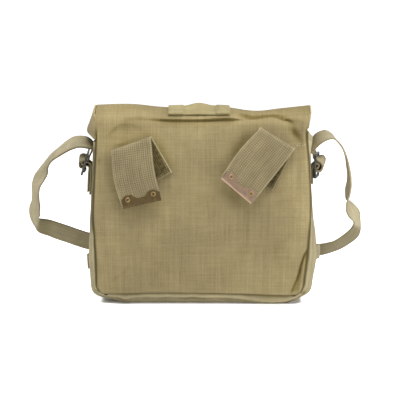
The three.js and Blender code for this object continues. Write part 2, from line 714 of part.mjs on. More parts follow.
function buildHookStrap(hook) {
  const length = hookLength(hook);
  const rows = [];
  const foldFrom = hook.foldAt - FOLD_MARGIN;
  const foldTo = hook.foldAt + Math.PI * FOLD_RADIUS + FOLD_MARGIN;
  const flatSteps = 3;
  const foldSteps = 12;
  for (let i = 0; i < flatSteps; i += 1) {
    rows.push(mix(0, foldFrom, i / flatSteps));
  }
  for (let i = 0; i < foldSteps; i += 1) {
    rows.push(mix(foldFrom, foldTo, i / foldSteps));
  }
  for (let i = 0; i <= flatSteps; i += 1) {
    rows.push(mix(foldTo, length, i / flatSteps));
  }
  const surface = (u, v) => hookPoint(hook, (u - 0.5) * BROAD_WIDTH, v * length);
  const strap = sheet(surface, steps(4), rows.map((r) => r / length), BROAD_WEB / 2, BROAD_WEB / 2);
  return cutHoles(strap, rivetHoles(hookEnd(hook)));
}

// Plate bent round the end of a broad strap: lobes in front, two hooks behind
function buildHookPlate(hook) {
  const end = hookEnd(hook);
  const bend = BROAD_WEB / 2 + GAP + PLATE / 2;
  const front = (x) => {
    const lobe = smooth(Math.abs(x), LOBE_FROM, LOBE_FULL);
    const round = smooth(Math.abs(x), SHOULDER_FROM, PLATE_WIDTH / 2);
    return mix(PLATE_WAIST, PLATE_LOBE, lobe) - SHOULDER_DROP * round;
  };
  const behind = (x) => {
    const prong = 1 - smooth(Math.abs(Math.abs(x) - RIVET_SPREAD), PRONG_FULL, PRONG_HALF);
    return mix(HOOK_ROOT, HOOK_LENGTH, prong);
  };
  const frontEnd = 0.4;
  const backStart = 0.6;
  const surface = (u, v) => {
    const x = (u - 0.5) * PLATE_WIDTH;
    if (v < frontEnd) {
      return placeAt(end, x, front(x) * (1 - v / frontEnd), bend);
    }
    if (v < backStart) {
      const turn = ((v - frontEnd) / (backStart - frontEnd)) * Math.PI;
      return placeAt(end, x, -bend * Math.sin(turn), bend * Math.cos(turn));
    }
    return placeAt(end, x, (behind(x) * (v - backStart)) / (1 - backStart), -bend);
  };
  const columns = [0, 0.06, 0.1, 0.24, 0.28, 0.36, 0.42, 0.5];
  const mirrored = columns.slice(0, -1).map((c) => 1 - c).reverse();
  const rows = [0, frontEnd, 0.45, 0.5, 0.55, backStart, 1];
  const plate = sheet(surface, [...columns, ...mirrored], rows, PLATE / 2, PLATE / 2);
  return cutHoles(plate, rivetHoles(end));
}

// Tubular rivet: head on the plate, shank through plate, strap and hook, clenched behind
function buildRivet(hook, x) {
  const end = hookEnd(hook);
  const face = BROAD_WEB / 2 + GAP + PLATE;
  const profile = [
    { r: 0, n: -face - 0.9 },
    { r: 3, n: -face - 0.9 },
    { r: 3.4, n: -face - GAP },
    { r: RIVET_SHANK, n: -face - GAP },
    { r: RIVET_SHANK, n: face + GAP },
    { r: RIVET_HEAD, n: face + GAP },
    { r: RIVET_HEAD - 0.5, n: face + 1 },
    { r: RIVET_BORE + 0.5, n: face + 1.2 },
    { r: RIVET_BORE, n: face + 0.8 },
    { r: RIVET_BORE, n: face - 2 },
    { r: 0, n: face - 2 },
  ];
  const points = profile.map((p) => new THREE.Vector2(p.r, p.n));
  const rivet = new THREE.LatheGeometry(points, RIVET_SIDES);
  const turn = new THREE.Quaternion().setFromUnitVectors(new THREE.Vector3(0, 1, 0), end.out);
  const middle = placeAt(end, x, RIVET_UP, 0);
  rivet.applyQuaternion(turn);
  rivet.translate(middle.x, middle.y, middle.z);
  return fromManifold(toManifold(rivet));
}

// Place on a buckle: off its frame outward, and up along its frame
function bucklePlace(buckle, off, up) {
  const lean = rad(buckle.lean);
  const out = buckle.out + off * Math.cos(lean) - up * Math.sin(lean);
  const z = buckle.z + off * Math.sin(lean) + up * Math.cos(lean);
  return { out, z };
}

function roundedRectangle(path, width, height, middle, radius) {
  const [w, h] = [width / 2, height / 2];
  path.moveTo(-w + radius, middle - h);
  path.lineTo(w - radius, middle - h);
  path.absarc(w - radius, middle - h + radius, radius, -Math.PI / 2, 0, false);
  path.lineTo(w, middle + h - radius);
  path.absarc(w - radius, middle + h - radius, radius, 0, Math.PI / 2, false);
  path.lineTo(-w + radius, middle + h);
  path.absarc(-w + radius, middle + h - radius, radius, Math.PI / 2, Math.PI, false);
  path.lineTo(-w, middle - h + radius);
  path.absarc(-w + radius, middle - h + radius, radius, Math.PI, 1.5 * Math.PI, false);
  return path;
}

function buildBuckle(buckle) {
  const frame = roundedRectangle(new THREE.Shape(), BUCKLE_WIDTH, BUCKLE_HEIGHT, 0, BUCKLE_CORNER);
  const slot = (BUCKLE_HEIGHT - 3 * BUCKLE_BAR) / 2;
  for (const middle of [-1, 1].map((s) => (s * (slot + BUCKLE_BAR)) / 2)) {
    frame.holes.push(roundedRectangle(new THREE.Path(), SLOT_WIDTH, slot, middle, SLOT_CORNER));
  }
  const options = { depth: BUCKLE_THICK, bevelEnabled: false, curveSegments: 3 };
  const body = new THREE.ExtrudeGeometry(frame, options);
  body.translate(0, 0, -BUCKLE_THICK / 2);
  const lean = rad(buckle.lean);
  const across = new THREE.Vector3(0, -buckle.side, 0);
  const up = new THREE.Vector3(-buckle.side * Math.sin(lean), 0, Math.cos(lean));
  const off = new THREE.Vector3().crossVectors(across, up);
  body.applyMatrix4(new THREE.Matrix4().makeBasis(across, up, off));
  body.translate(buckle.side * buckle.out, 0, buckle.z);
  return fromManifold(toManifold(body));
}

// Loop of webbing sewn to the side, round the middle bar of the buckle and back down
function buildChape(buckle) {
  const around = BUCKLE_BAR / 2 + 1 + WEB / 2;
  const lie = (drop, layer) => {
    const z = buckle.z - drop;
    const out = gussetOut(buckle.side, z) + CLOTH_GAP + WEB / 2 + layer * (WEB + CLOTH_GAP);
    return { out, z };
  };
  const turn = CHAPE_TURN.map((row) => bucklePlace(buckle, row.off * around, row.up * around));
  const up = [buckle.foot, buckle.foot - CHAPE_SEWN, ...CHAPE_UP].map((drop) => lie(drop, 0));
  const lift = {
    out: mix(up[up.length - 1].out, turn[0].out, CHAPE_LIFT.share),
    z: buckle.z - CHAPE_LIFT.drop,
  };
  const rows = [...up, lift, ...turn, ...CHAPE_DOWN.map((drop) => lie(drop, 1))];
  const path = withRun(rows.map((row) => ({ x: row.out, y: 0, z: row.z })));
  const length = path[path.length - 1].run;
  const surface = (u, v) => {
    const row = read(path, "run", v * length);
    return new THREE.Vector3(buckle.side * row.x, (u - 0.5) * WEB_WIDTH, row.z);
  };
  return sheet(surface, [0, 1], steps(44), WEB / 2, WEB / 2);
}

// Whole shoulder strap: threaded left end, free run, threaded right end
function buildStrap() {
  const threaded = (buckle) => THREADING.map((row) => {
    const off = row.off > 0 ? row.off * buckle.bulge : row.off;
    const up = row.off > 0 && row.up > 0 ? row.up * buckle.bulge : row.up;
    const place = bucklePlace(buckle, off, up);
    return { x: buckle.side * place.out, y: 0, z: place.z, wx: 0, wy: -1, wz: 0, step: THREADING_STEP };
  });
  const free = STRAP.map((row) => ({ ...row, step: STRAP_STEP }));
  const path = withRun([...threaded(BUCKLES[0]), ...free, ...threaded(BUCKLES[1]).reverse()]);
  const length = path[path.length - 1].run;
  const surface = (u, v) => {
    const row = read(path, "run", v * length);
    const wide = new THREE.Vector3(row.wx, row.wy, row.wz).normalize();
    return new THREE.Vector3(row.x, row.y, row.z).addScaledVector(wide, (u - 0.5) * WEB_WIDTH);
  };
  const runs = [];
  path.slice(0, -1).forEach((row, i) => {
    const span = path[i + 1].run - row.run;
    const count = Math.max(1, Math.round(span / row.step));
    for (let k = 0; k < count; k += 1) {
      runs.push((row.run + (span * k) / count) / length);
    }
  });
  runs.push(1);
  return sheet(surface, [0, 1], runs, WEB / 2, WEB / 2);
}

// Small folded loop sewn low on a side
function buildSideTab(tab) {
  const path = withRun(SIDE_TAB_ROWS.map((row) => ({ y: row.y, z: row.share * tab.reach })));
  const length = path[path.length - 1].run;
  const surface = (u, v) => {
    const row = read(path, "run", v * length);
    const z = tab.z + (u - 0.5) * SIDE_TAB_HEIGHT;
    const out = gussetOut(tab.side, z) + CLOTH_GAP + CANVAS / 2 + row.z;
    return new THREE.Vector3(tab.side * out, row.y, z);
  };
  return sheet(surface, steps(2), steps(14), CANVAS / 2, CANVAS / 2);
}

const canvas = { color: 0x9c8e68, roughness: 0.95 };
const webbing = { color: 0xa89c76, roughness: 0.95 };
const broadWebbing = { color: 0x9e9476, roughness: 0.95 };
const brass = { color: 0x8a6a42, roughness: 0.5, metalness: 0.7 };
const rivetBrass = { color: 0xb08a48, roughness: 0.4, metalness: 0.8 };
const blackened = { color: 0x2e2c28, roughness: 0.5, metalness: 0.7 };

const group = new THREE.Group();
group.name = "canvas_field_bag";

function addPiece(name, geometry, look) {
  const mesh = new THREE.Mesh(geometry, new THREE.MeshStandardMaterial(look));
  mesh.name = name;
  group.add(mesh);
}

addPiece("cover", buildCover(), canvas);
addPiece("gusset", buildGusset(), canvas);
addPiece("front_panel", buildFront(), canvas);
addPiece("wing_left", buildWing(WINGS[0]), canvas);
addPiece("wing_right", buildWing(WINGS[1]), canvas);
addPiece("carry_handle", topStrip(HANDLE_FROM, HANDLE_TO, WEB_WIDTH, WEB, handleRise), webbing);
const tabRise = () => CLOTH_GAP + WEB + GAP + TAB_WEB / 2;
for (const tab of HANDLE_TABS) {
  addPiece(`handle_tab_${tab.name}`, topStrip(tab.from, tab.to, TAB_WIDTH, TAB_WEB, tabRise), webbing);
}
for (const hook of HOOKS) {
  addPiece(`hook_strap_${hook.name}`, buildHookStrap(hook), broadWebbing);
  addPiece(`hook_plate_${hook.name}`, buildHookPlate(hook), brass);
  addPiece(`rivet_${hook.name}_first`, buildRivet(hook, -RIVET_SPREAD), rivetBrass);
  addPiece(`rivet_${hook.name}_second`, buildRivet(hook, RIVET_SPREAD), rivetBrass);
}
for (const buckle of BUCKLES) {
  addPiece(`chape_${buckle.name}`, buildChape(buckle), webbing);
  addPiece(`buckle_${buckle.name}`, buildBuckle(buckle), blackened);
}
addPiece("shoulder_strap", buildStrap(), webbing);
for (const tab of SIDE_TABS) {
  addPiece(`side_tab_${tab.name}`, buildSideTab(tab), webbing);
}

export default group;
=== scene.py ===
"""Canvas field bag standing on its base, in cloth, webbing and metal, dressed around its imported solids.

The back of the bag, which lies against the wearer, faces -Y. Sizes below are in millimetres.
"""
import math

import bpy
import numpy as np
from mathutils import Matrix, Vector


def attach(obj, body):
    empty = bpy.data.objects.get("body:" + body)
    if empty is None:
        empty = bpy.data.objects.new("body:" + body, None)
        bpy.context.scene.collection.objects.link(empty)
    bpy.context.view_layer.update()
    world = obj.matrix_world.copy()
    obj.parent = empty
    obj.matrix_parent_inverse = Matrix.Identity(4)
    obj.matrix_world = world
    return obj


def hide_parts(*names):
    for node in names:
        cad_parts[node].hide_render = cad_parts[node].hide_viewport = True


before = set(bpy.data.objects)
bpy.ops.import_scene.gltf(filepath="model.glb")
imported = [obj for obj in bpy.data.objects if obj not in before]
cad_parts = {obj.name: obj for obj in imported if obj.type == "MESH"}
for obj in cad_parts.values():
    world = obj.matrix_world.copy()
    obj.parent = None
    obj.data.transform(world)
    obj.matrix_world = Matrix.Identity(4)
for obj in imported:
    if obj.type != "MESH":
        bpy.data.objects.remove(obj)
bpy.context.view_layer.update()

MM = 0.001

# Cloth, webbing and the clearance between two pieces
CANVAS = 2.0
WEB = 2.4
WEB_WIDTH = 25.4
BROAD_WEB = 2.8
BROAD_WIDTH = 57.0
RIB = 2.9
RIB_DEPTH = 0.2
GAP = 0.3
CLOTH_GAP = 0.7

# Body of the bag
SEAM_Z = 17.0
CORNER = 14.0
ROLL = 13.0
SEAM_ROLL = 5.0
BACK_CROWN = 5.0
BACK_BELLY = 1.5
FRONT_CROWN = 3.5
FRONT_TOP = 240.0
GUSSET_TOP_LEFT = 236.0
GUSSET_TOP_RIGHT = 251.0
GUSSET_SAG_RIGHT = 15.0
GUSSET_SAG_SPAN = 40.0
BASE_LIFT = 6.5
HEM_CORNER = 20.0
HEM_WIDTH = 10.5
COVER_CUT = (306.0, 489.0)
FRONT_CUT = (305.0, 223.0)

# Carry handle and its tabs
HANDLE_FROM = -46.0
HANDLE_TO = 37.0
HANDLE_RISE = 3.4
HANDLE_SEWN = 20.0
TAB_WEB = 1.6
TAB_WIDTH = 24.0
TAB_SHIFT = -1.2
HANDLE_TABS = {"left": (-48.0, -26.0), "right": (20.0, 39.0)}

# Hook straps, hook plates and rivets
FOLD_RADIUS = 5.0
PLATE = 1.2
PLATE_WIDTH = 55.0
PLATE_LOBE = 17.0
PLATE_WAIST = 10.0
HOOK_LENGTH = 18.0
HOOK_ROOT = 4.0
PRONG_ROWS = 4
RIVET_SPREAD = 18.5
RIVET_UP = 10.7
RIVET_SHANK = 2.2
RIVET_HEAD = 3.4
RIVET_RIM = 0.82
RIVET_LIP = 0.55
RIVET_BORE = 1.4

# Buckles and side loops
BUCKLE_HEIGHT = 36.0
BUCKLE_WIDTH = 34.0
BUCKLE_BAR = 3.0
BUCKLE_THICK = 3.2
BUCKLE_CORNER = 4.0
SLOT_WIDTH = 28.0
LOOP_SLANT = 0.3
SIDE_TAB_HEIGHT = 20.0

# Stitches: length, breadth and height, the step from one to the next, and what they face away from
STITCH = (2.5, 0.85, 0.6)
STITCH_PITCH = 3.3
BAG_MIDDLE = np.array([0.0, 0.0, 140.0])

# Hollows pressed into the cloth: depth, seed of their draw, and width
BACK_HOLLOWS = (0.45, 11, 55)
BACK_GATHERS = (0.5, 13, 15)
STRIP_GATHERS = (0.7, 21, 17)
STRIP_HOLLOWS = (0.5, 22, 45)
FRONT_HOLLOWS = (0.5, 31, 60)
FRONT_GATHERS = (0.5, 32, 18)
WING_HOLLOWS = (0.8, 41, 30)

# Waves of the flap, the piping, the strap's curl and its fading, and the specks under the broad straps:
# seed and width
FLAP_WAVES = (12, 70)
PIPING_WAVES = (23, 40)
STRAP_CURL = (51, 60)
STRAP_FADING = (52, 60)
HOOK_SPECKS = (61, 4)

# Runs of the cover over which the back's crown, hollows, gathers and painted seam shade end, and over which
# the waves and the hem of the flap begin
CROWN_END = (245, 185)
HOLLOWS_END = (262, 236)
GATHERS_END = (250, 225)
SEAM_LINE_END = (243, 225)
WAVES_START = (300, 345)
HEM_START = (330, 350)

# Stretches of the cover's run, as start, full, fade and end: the gathered leaf, the tuck above it with its
# painted shade, painted light at the right, and painted shade on the top
LEAF_RUN = (1, 8, 58, 71)
TUCK_RUN = (62, 72, 86, 112)
PALE_RUN = (40, 110, 170, 215)
DIM_RUN = (242, 260, 300, 330)
TOP_RUN = (258, 285, 310, 340)

# Side strip: squarer stretches of the base's back edge as middle, half length and share, places between
# which the base's ends rise, and heights in the shade of the strap as start, full, fade and end
SQUARE_EDGES = [(98, 40, 1.0), (-112, 9, 0.6)]
BASE_RISES = [(-108, -146), (118, 148)]
SHADED_LEFT = (95, 125, 222, 234)
SHADED_RIGHT = (115, 150, 210, 222)

# Shoulder strap: distances from its nearer end where it lies in the loop and in the buckle, as above, and
# where it comes free
IN_LOOP = (7, 16, 28, 40)
IN_BUCKLE = (0, 6, 48, 72)
STRAP_LOOSE = (45, 80)


def columns(names, rows):
    """A table of given rows as named columns."""
    return dict(zip(names.split(), np.array(rows, float).T))


def with_run(table):
    """Adds the distance run along the rows of a table."""
    steps = [np.diff(table[axis]) for axis in "xyz" if axis in table]
    run = np.concatenate([[0.0], np.cumsum(np.sqrt(sum(step**2 for step in steps)))])
    return {**table, "run": run}


def read(table, key, at):
    """Smooth reading of every column of a table between its rows."""
    keys = table[key]
    last = len(keys) - 1
    at = np.asarray(at, float)
    low = np.searchsorted(keys[1:-1], at, side="left")
    high = low + 1
    before = np.maximum(low - 1, 0)
    after = np.minimum(low + 2, last)
    span = keys[high] - keys[low]
    t = np.clip((at - keys[low]) / span, 0, 1)
    bend = t * t * (3 - 2 * t)
    found = {}
    for name, values in table.items():
        slope_low = (values[high] - values[before]) / (keys[high] - keys[before]) * span
        slope_high = (values[after] - values[low]) / (keys[after] - keys[low]) * span
        straight = values[low] * (1 - bend) + values[high] * bend
        found[name] = straight + slope_low * t * (1 - t) ** 2 - slope_high * t * t * (1 - t)
    return found


# Seam lines of the panels by height, and how far the side strip swells beyond them
SIDES = columns("z left right swell_left swell_right back front", [
    (31, 153, 147, 9.5, 14, -34, 36),
    (66, 153, 150.5, 11.5, 15, -35, 37),
    (100, 154.5, 153.5, 8, 10.5, -35.5, 37),
    (135, 156, 155, 4.5, 4.5, -35.5, 37),
    (180, 153.5, 153.5, 5, 3, -35, 36),
    (225, 151, 150, 4.5, 5.5, -34, 34),
    (250, 150, 147.5, 4.5, 10, -33, 33),
])

# Run of the cover from the bottom hem of the back, over the top, to the hem of the front flap
COVER = with_run(columns("y z left right", [
    (-34, 17, 153, 147),
    (-34.2, 31, 153, 147),
    (-35, 66, 153, 150.5),
    (-35.5, 100, 154.5, 153.5),
    (-35.5, 135, 156, 155),
    (-35, 180, 153.5, 153.5),
    (-34, 225, 151, 150),
    (-33, 250, 150, 147.5),
    (-32, 264, 150, 150),
    (-29.5, 270, 150.5, 151),
    (-24, 273.5, 151, 152),
    (-13, 279.5, 151, 152.5),
    (-2, 284, 151, 153),
    (10, 285, 151, 153),
    (23, 281, 151.5, 153),
    (33, 272, 152, 153),
    (39, 257, 154, 154),
    (42.5, 235, 156, 156),
    (44, 190, 157, 157),
    (44, 150, 157, 157),
    (43, 108, 157, 157),
]))
COVER_LENGTH = COVER["run"][-1]
RIDGE_RUN = COVER["run"][13]
HANDLE_RUN = COVER["run"][10] - 1 + WEB_WIDTH / 2

# Sag of the top ridge along the width
RIDGE = columns("x sag", [
    (-158, 0), (-103, -1.5), (-53, 3), (-10, 1.5), (30, 2.5), (76, 8.5), (112, 5), (158, 0),
])
RIDGE_HALF = 24.0

# Dents of the cover that its solid has: place, half length, half breadth, turn in degrees, depth
DENTS = [
    (-5, 252, 75, 5, 0, 3),
    (-95, 240, 38, 11, 16, 1.6),
    (119, 252, 16, 7, -25, 5),
    (67, 257, 18, 8, 0, 4),
    (135, 224, 16, 8, 85, 3),
    (143, 38, 34, 6, 77, 3.5),
]

# Fine creases and ridges on top of them: as above, then how far the ends bow aside
CREASES = [
    (131, 231, 10, 4.5, -48, 2.0, 0),
    (146, 231, 15, 4.0, 88, -1.2, 0),
    (-10, 60.5, 128, 1.2, 0, 0.5, 0.6),
    (105, 72, 25, 1.8, 90, 0.6, 0),
    (62, 95, 60, 1.5, 88, 0.35, 2),
    (-88, 92, 40, 1.6, 93, 0.3, -2),
    (20, 150, 46, 1.6, 86, 0.3, 2),
    (-62, 35, 26, 2.0, 62, 0.4, 2),
    (-118, 28, 22, 2.4, 40, 0.5, 3),
    (104, 22, 18, 2.2, 118, 0.5, 2),
]

# Folds of the cover: the line they follow as (x, run), the lip above it and the hollow below it,
# how far those reach, the painted shade along the line and its half width, how soft the step between
# the two is, and how long its ends fade
FOLDS = [
    dict(
        line=[
            (-92, 254), (-70, 252.5), (-45, 251), (-16, 250.5), (12, 251.8), (32, 252.8), (46, 252.8),
            (62, 255),
        ],
        lip=2.2, hollow=2.6, above=5, below=13, dark=0.38, wide=2.2, edge=1.2, ends=(56, 26),
    ),
    dict(
        line=[(-116, 249), (-107, 252), (-90, 254.5), (-74, 255)],
        lip=0.5, hollow=0.4, above=6, below=7, dark=0.1, wide=3.0, edge=3, ends=(14, 14),
    ),
    dict(
        line=[
            (-138, 223), (-132, 229.5), (-125.5, 236.5), (-116.5, 243), (-107.5, 244), (-97, 243), (-70, 232),
        ],
        lip=0.5, hollow=0.7, above=9, below=15, dark=0.07, wide=4.4, edge=4, ends=(10, 44),
    ),
    dict(
        line=[
            (48, 266), (57, 265), (65, 263), (70, 261), (80, 260.5), (92, 261.5), (101, 262.5), (108, 261.5),
            (115.5, 257.5), (125.5, 250.5), (133, 246),
        ],
        lip=0.7, hollow=1.1, above=6, below=10, dark=0.27, wide=3.2, edge=2.5, ends=(14, 10),
    ),
]

# Painted shade on the cover: soft shadows beside and below the broad straps and under the folds at the top,
# dark spots in the bottom corners; also dirt round the bar tack and one stain. As the dents, with a darkness
# for the depth
SHADE_AND_GRIME = [
    (-115, 216, 17, 2.4, 16, 0.16),
    (-57, 205, 26, 7, -56, 0.16),
    (54, 214, 26, 8, 49, 0.17),
    (-66, 132, 26, 9, 12, 0.05),
    (46, 142, 24, 8, -36, 0.07),
    (136, 214.5, 5, 2.5, 0, 0.12),
    (132.5, 234, 17, 4.5, -62, 0.13),
    (-104, 227, 36, 12, 0, 0.085),
    (-150, 4, 3, 4, 0, 0.3),
    (145.5, 4, 3.5, 4, 0, 0.34),
    (-145.5, 194.5, 2.2, 3.143, 0, 0.26),
]

# Bar tack at the top right of the back, as lines of (x, run)
TACKS = [
    [(133, 216.5), (134.6, 213), (136.6, 216.8), (138.4, 213.2), (140, 216)],
    [(140, 214.8), (147.5, 216)],
]

# Gathered leaf of cloth at the low right corner: its left crease
LEAF = columns("run x", [
    (4.5, 127), (13, 131), (23, 135.5), (31, 138.5), (41.5, 140.5), (49.5, 143), (60, 146.5),
    (70, 151.5),
])
LEAF_DEPTH = 2.4

# Dip of the bottom seam of the back along the width
SEAM_DIP = columns("x dip", [
    (-158, 0), (-137, 1.6), (-65, 0), (0, 0.6), (60, 2), (119, 4), (140, 3), (158, 0.5),
])

# Side ears: share of the drop, and how far they stand off the edge of the top
WING_LEFT = columns("drop out", [(0, 0), (0.35, 4.2), (0.65, 8), (0.85, 10.2), (0.94, 10.4), (1, 9.2)])
WING_RIGHT = columns("drop out", [(0, 0), (0.45, 1), (1, 0)])
WING_BACK_RUN = 258.0
WING_FRONT_RUN = 324.0

# Ears: side, stand-off, runs of the cover at their lower corners, rise of the lower edge, flat size
WINGS = {
    "left": dict(side=-1, rows=WING_LEFT, back_run=221, front_run=354, rise=6.5, cut=(70.0, 42.0)),
    "right": dict(side=1, rows=WING_RIGHT, back_run=236, front_run=346, rise=8, cut=(67.0, 27.0)),
}

# How freely an ear stands off between its back and front joins, in shares of its length
WING_FULL = 0.45
WING_FALL = 0.7
WING_HELD = 0.8
WING_TUCK = 6.0

# Broad straps: middle of the sewn end, lean from upright, fold and free length, bow of the free flap,
# and how far that flap swings aside in its own plane
HOOKS = {
    "left": dict(
        x=-67, z=180.5, lean=30, fold_at=58, fold_slope=19.3, free=80, lift=6, bow=(-3.2, -2.2), swing=4.5,
    ),
    "right": dict(
        x=74, z=181, lean=-27, fold_at=64.5, fold_slope=-31.7, free=88, lift=6, bow=(-3.8, -0.5), swing=-4,
    ),
}

# Slide buckles: side, middle of the frame measured outward, its height, lean toward the bag,
# bulge and rise of the strap over the middle bar, degrees turned to show the outer face to the back,
# drop of the chape below the frame's middle, and the drops where its outer layer comes down
BUCKLES = {
    "left": dict(
        side=-1, out=168.5, z=203, lean=17, bulge=0.85, rise=0.6, turn=3, foot=46, down=(5, 15, 28, 42),
    ),
    "right": dict(
        side=1, out=165.5, z=199, lean=0, bulge=1.0, rise=1.0, turn=14, foot=26, down=(5, 10, 14, 18),
    ),
}

# Chape: length sewn down, drops below the buckle's middle where its inner layer goes up the side,
# and the place where it leaves the side
CHAPE_SEWN = 10.0
CHAPE_UP = (16.0, 4.5)
CHAPE_LIFT_SHARE = 0.35
CHAPE_LIFT_DROP = 0.8

# Way of a chape round the middle bar, in radii of the turn
CHAPE_TURN = [(-0.75, 0.8), (0.1, 1.05), (0.9, 0.85), (1.35, 0), (0.9, -0.85), (0, -1.05), (-0.8, -0.75)]

# Way of the strap end through a buckle: off the frame and along the frame, from the tail up
THREADING = np.array([
    (-3, -13), (-2.9, -10.8), (-1.9, -8.5), (0, -7.3), (3.4, -6.6), (7.2, -4.4), (9.9, -0.5),
    (10.2, 4), (7.6, 8), (3.6, 9.6), (0, 10), (-2.6, 11.2), (-3.5, 14), (-3.4, 17.5),
])

# Free run of the shoulder strap from the left buckle to the right buckle: middle and width direction
STRAP_FREE = np.array([
    (-157.2, 0, 225.5, -0.05, -0.97, -0.2),
    (-165, 1.5, 231, -0.04, -0.87, -0.5),
    (-175.5, 3, 232.5, 0.02, -0.84, -0.54),
    (-184.5, 5, 231, 0.13, -0.83, -0.55),
    (-195.5, 7, 225.5, 0.22, -0.89, -0.41),
    (-206, 10, 218, 0.29, -0.92, -0.25),
    (-216, 12, 210.5, 0.31, -0.94, -0.15),
    (-224.5, 15, 201, 0.4, -0.92, 0.05),
    (-231, 17, 191, 0.6, -0.77, 0.19),
    (-235, 19, 182, 0.79, -0.6, 0.11),
    (-239.5, 21, 173, 0.73, -0.68, 0.09),
    (-243.5, 23, 164, 0.58, -0.81, 0.11),
    (-245, 25, 153.5, 0.48, -0.86, 0.15),
    (-246, 28, 141, 0.53, -0.83, 0.15),
    (-248, 33.5, 131.5, 0.69, -0.72, 0.1),
    (-249, 35, 122.5, 0.68, -0.71, 0.19),
    (-248.5, 36.5, 115.5, 0.62, -0.72, 0.29),
    (-247.5, 38.5, 110.5, 0.51, -0.73, 0.45),
    (-246, 40.5, 106.5, 0.36, -0.69, 0.63),
    (-244.5, 42, 103, 0.24, -0.56, 0.79),
    (-242, 43, 101, 0.15, -0.41, 0.9),
    (-237, 44, 99.5, 0.11, -0.29, 0.95),
    (-228, 45.5, 97, 0.1, -0.12, 0.99),
    (-219, 46, 93.5, 0.17, 0, 0.98),
    (-202.5, 47.5, 87.5, 0.2, 0, 0.98),
    (-185, 48.5, 81, 0.2, 0, 0.98),
    (-168.5, 49, 76, 0.18, 0, 0.98),
    (-120, 49, 68, 0.12, 0, 0.99),
    (-60, 48, 61, 0.06, 0, 1),
    (0, 48, 58, 0, 0, 1),
    (60, 48, 58, -0.02, -0.1, 0.99),
    (120, 49, 60, -0.04, -0.3, 0.95),
    (175, 49, 63, -0.1, -0.6, 0.8),
    (188.5, 48, 65.5, -0.16, -0.65, 0.74),
    (201, 46.5, 69.5, -0.36, -0.68, 0.64),
    (209.5, 44.5, 74.5, -0.42, -0.66, 0.62),
    (219.5, 42, 82.5, -0.44, -0.64, 0.63),
    (227, 40, 90, -0.52, -0.64, 0.57),
    (230, 38, 97, -0.54, -0.72, 0.44),
    (231, 37, 103, -0.49, -0.8, 0.34),
    (230, 35.5, 108, -0.51, -0.83, 0.23),
    (227.5, 34, 114, -0.63, -0.77, 0.08),
    (225, 32, 120.5, -0.75, -0.66, -0.05),
    (222, 30.5, 126.5, -0.74, -0.67, -0.09),
    (219, 28.5, 132.5, -0.58, -0.81, -0.04),
    (216.5, 26.5, 137.5, -0.39, -0.92, 0),
    (214.5, 25, 141, -0.21, -0.98, 0.04),
    (214, 24, 144.5, -0.01, -0.98, 0.18),
    (214.5, 23, 151, 0.12, -0.97, 0.21),
    (215, 21, 162.5, 0.19, -0.96, 0.21),
    (215.5, 19.5, 172.5, 0.1, -0.98, 0.19),
    (215, 18, 182.5, 0.05, -0.98, 0.17),
    (213, 17, 194, 0.01, -0.99, 0.16),
    (209.5, 14.5, 210, -0.07, -0.99, 0.15),
    (203.5, 12, 223.5, -0.1, -0.99, 0.13),
    (193.5, 9, 234.5, -0.11, -0.99, 0.11),
    (186.5, 7, 240, -0.03, -0.98, -0.19),
    (179, 5, 241.5, 0.1, -0.91, -0.41),
    (168, 3, 237, 0.19, -0.86, -0.46),
    (161, 1.5, 229.5, 0.19, -0.87, -0.45),
    (158, 0, 222, 0.12, -0.94, -0.32),
])

# Small side loops: side, middle height, and how far they stand off
SIDE_TABS = {"left": (-1, 57.5, 1.6), "right": (1, 71.5, 4.2)}

# Fold of a side loop from its back end: share of that reach
SIDE_TAB_WAY = columns("y share", [
    (-11, 0), (-5, 0.03), (-2.7, 0.4), (0, 1), (2.7, 0.4), (5, 0.03), (11, 0),
])


def mix(a, b, t):
    return a + (b - a) * t


def smooth(at, low, high):
    """Soft step from 0 at low to 1 at high, or down to 0 at low where low is the greater."""
    t = np.clip((np.asarray(at, float) - low) / (high - low), 0, 1)
    return t * t * (3 - 2 * t)


def band(at, start, full, fade, end):
    """Soft stretch: 0 up to its start, 1 from where it is full to where it fades, 0 from its end on."""
    return smooth(at, start, full) * smooth(at, end, fade)


def bell(off, wide):
    """Soft bump: 1 where the offset is 0, faded away beyond the width."""
    return np.exp(-((off / wide) ** 2))


def unit(vectors):
    return vectors / np.linalg.norm(vectors, axis=-1, keepdims=True)


def roll(distance, reach):
    """Rounded edge beside a seam: 0 at the seam, 1 from the reach of the roll on."""
    return np.sin(np.clip(distance / reach, 0, 1) * math.pi / 2)


def corner_inset(distance, radius):
    d = np.clip(radius - distance, 0, radius)
    return radius - np.sqrt(radius * radius - d * d)


def ripple(a, b, seed, size):
    """Soft irregular waves over a cloth, about -1 to 1, with hills about as wide as the size."""
    draw = np.random.default_rng(seed)
    total = np.zeros(np.broadcast(a, b).shape)
    waves = 9
    for _ in range(waves):
        angle = draw.uniform(0, math.pi)
        length = size * draw.uniform(0.7, 2.4)
        phase = draw.uniform(0, 2 * math.pi)
        total = total + np.sin((a * math.cos(angle) + b * math.sin(angle)) * 2 * math.pi / length + phase)
    return total / math.sqrt(waves)


def hollows(a, b, depth, seed, size):
    """Soft irregular hollows in a cloth, from about 0 to their depth."""
    return depth * (1 + ripple(a, b, seed, size)) * 0.5


def normals_of(surface, u, v, step=1e-4):
    du = surface(np.minimum(u + step, 1), v) - surface(np.maximum(u - step, 0), v)
    dv = surface(u, np.minimum(v + step, 1)) - surface(u, np.maximum(v - step, 0))
    return unit(np.cross(du, dv))


def crease_depth(x, run, creases):
    depth = np.zeros(np.broadcast(x, run).shape)
    for middle_x, middle_run, reach, breadth, turn, deep, *bow in creases:
        c, s = math.cos(math.radians(turn)), math.sin(math.radians(turn))
        dx = x - middle_x
        dr = run - middle_run
        a = (dx * c + dr * s) / reach
        b = dr * c - dx * s - (bow[0] if bow else 0) * a * a
        depth = depth + deep * bell(a, 1) * bell(b, breadth)
    return depth


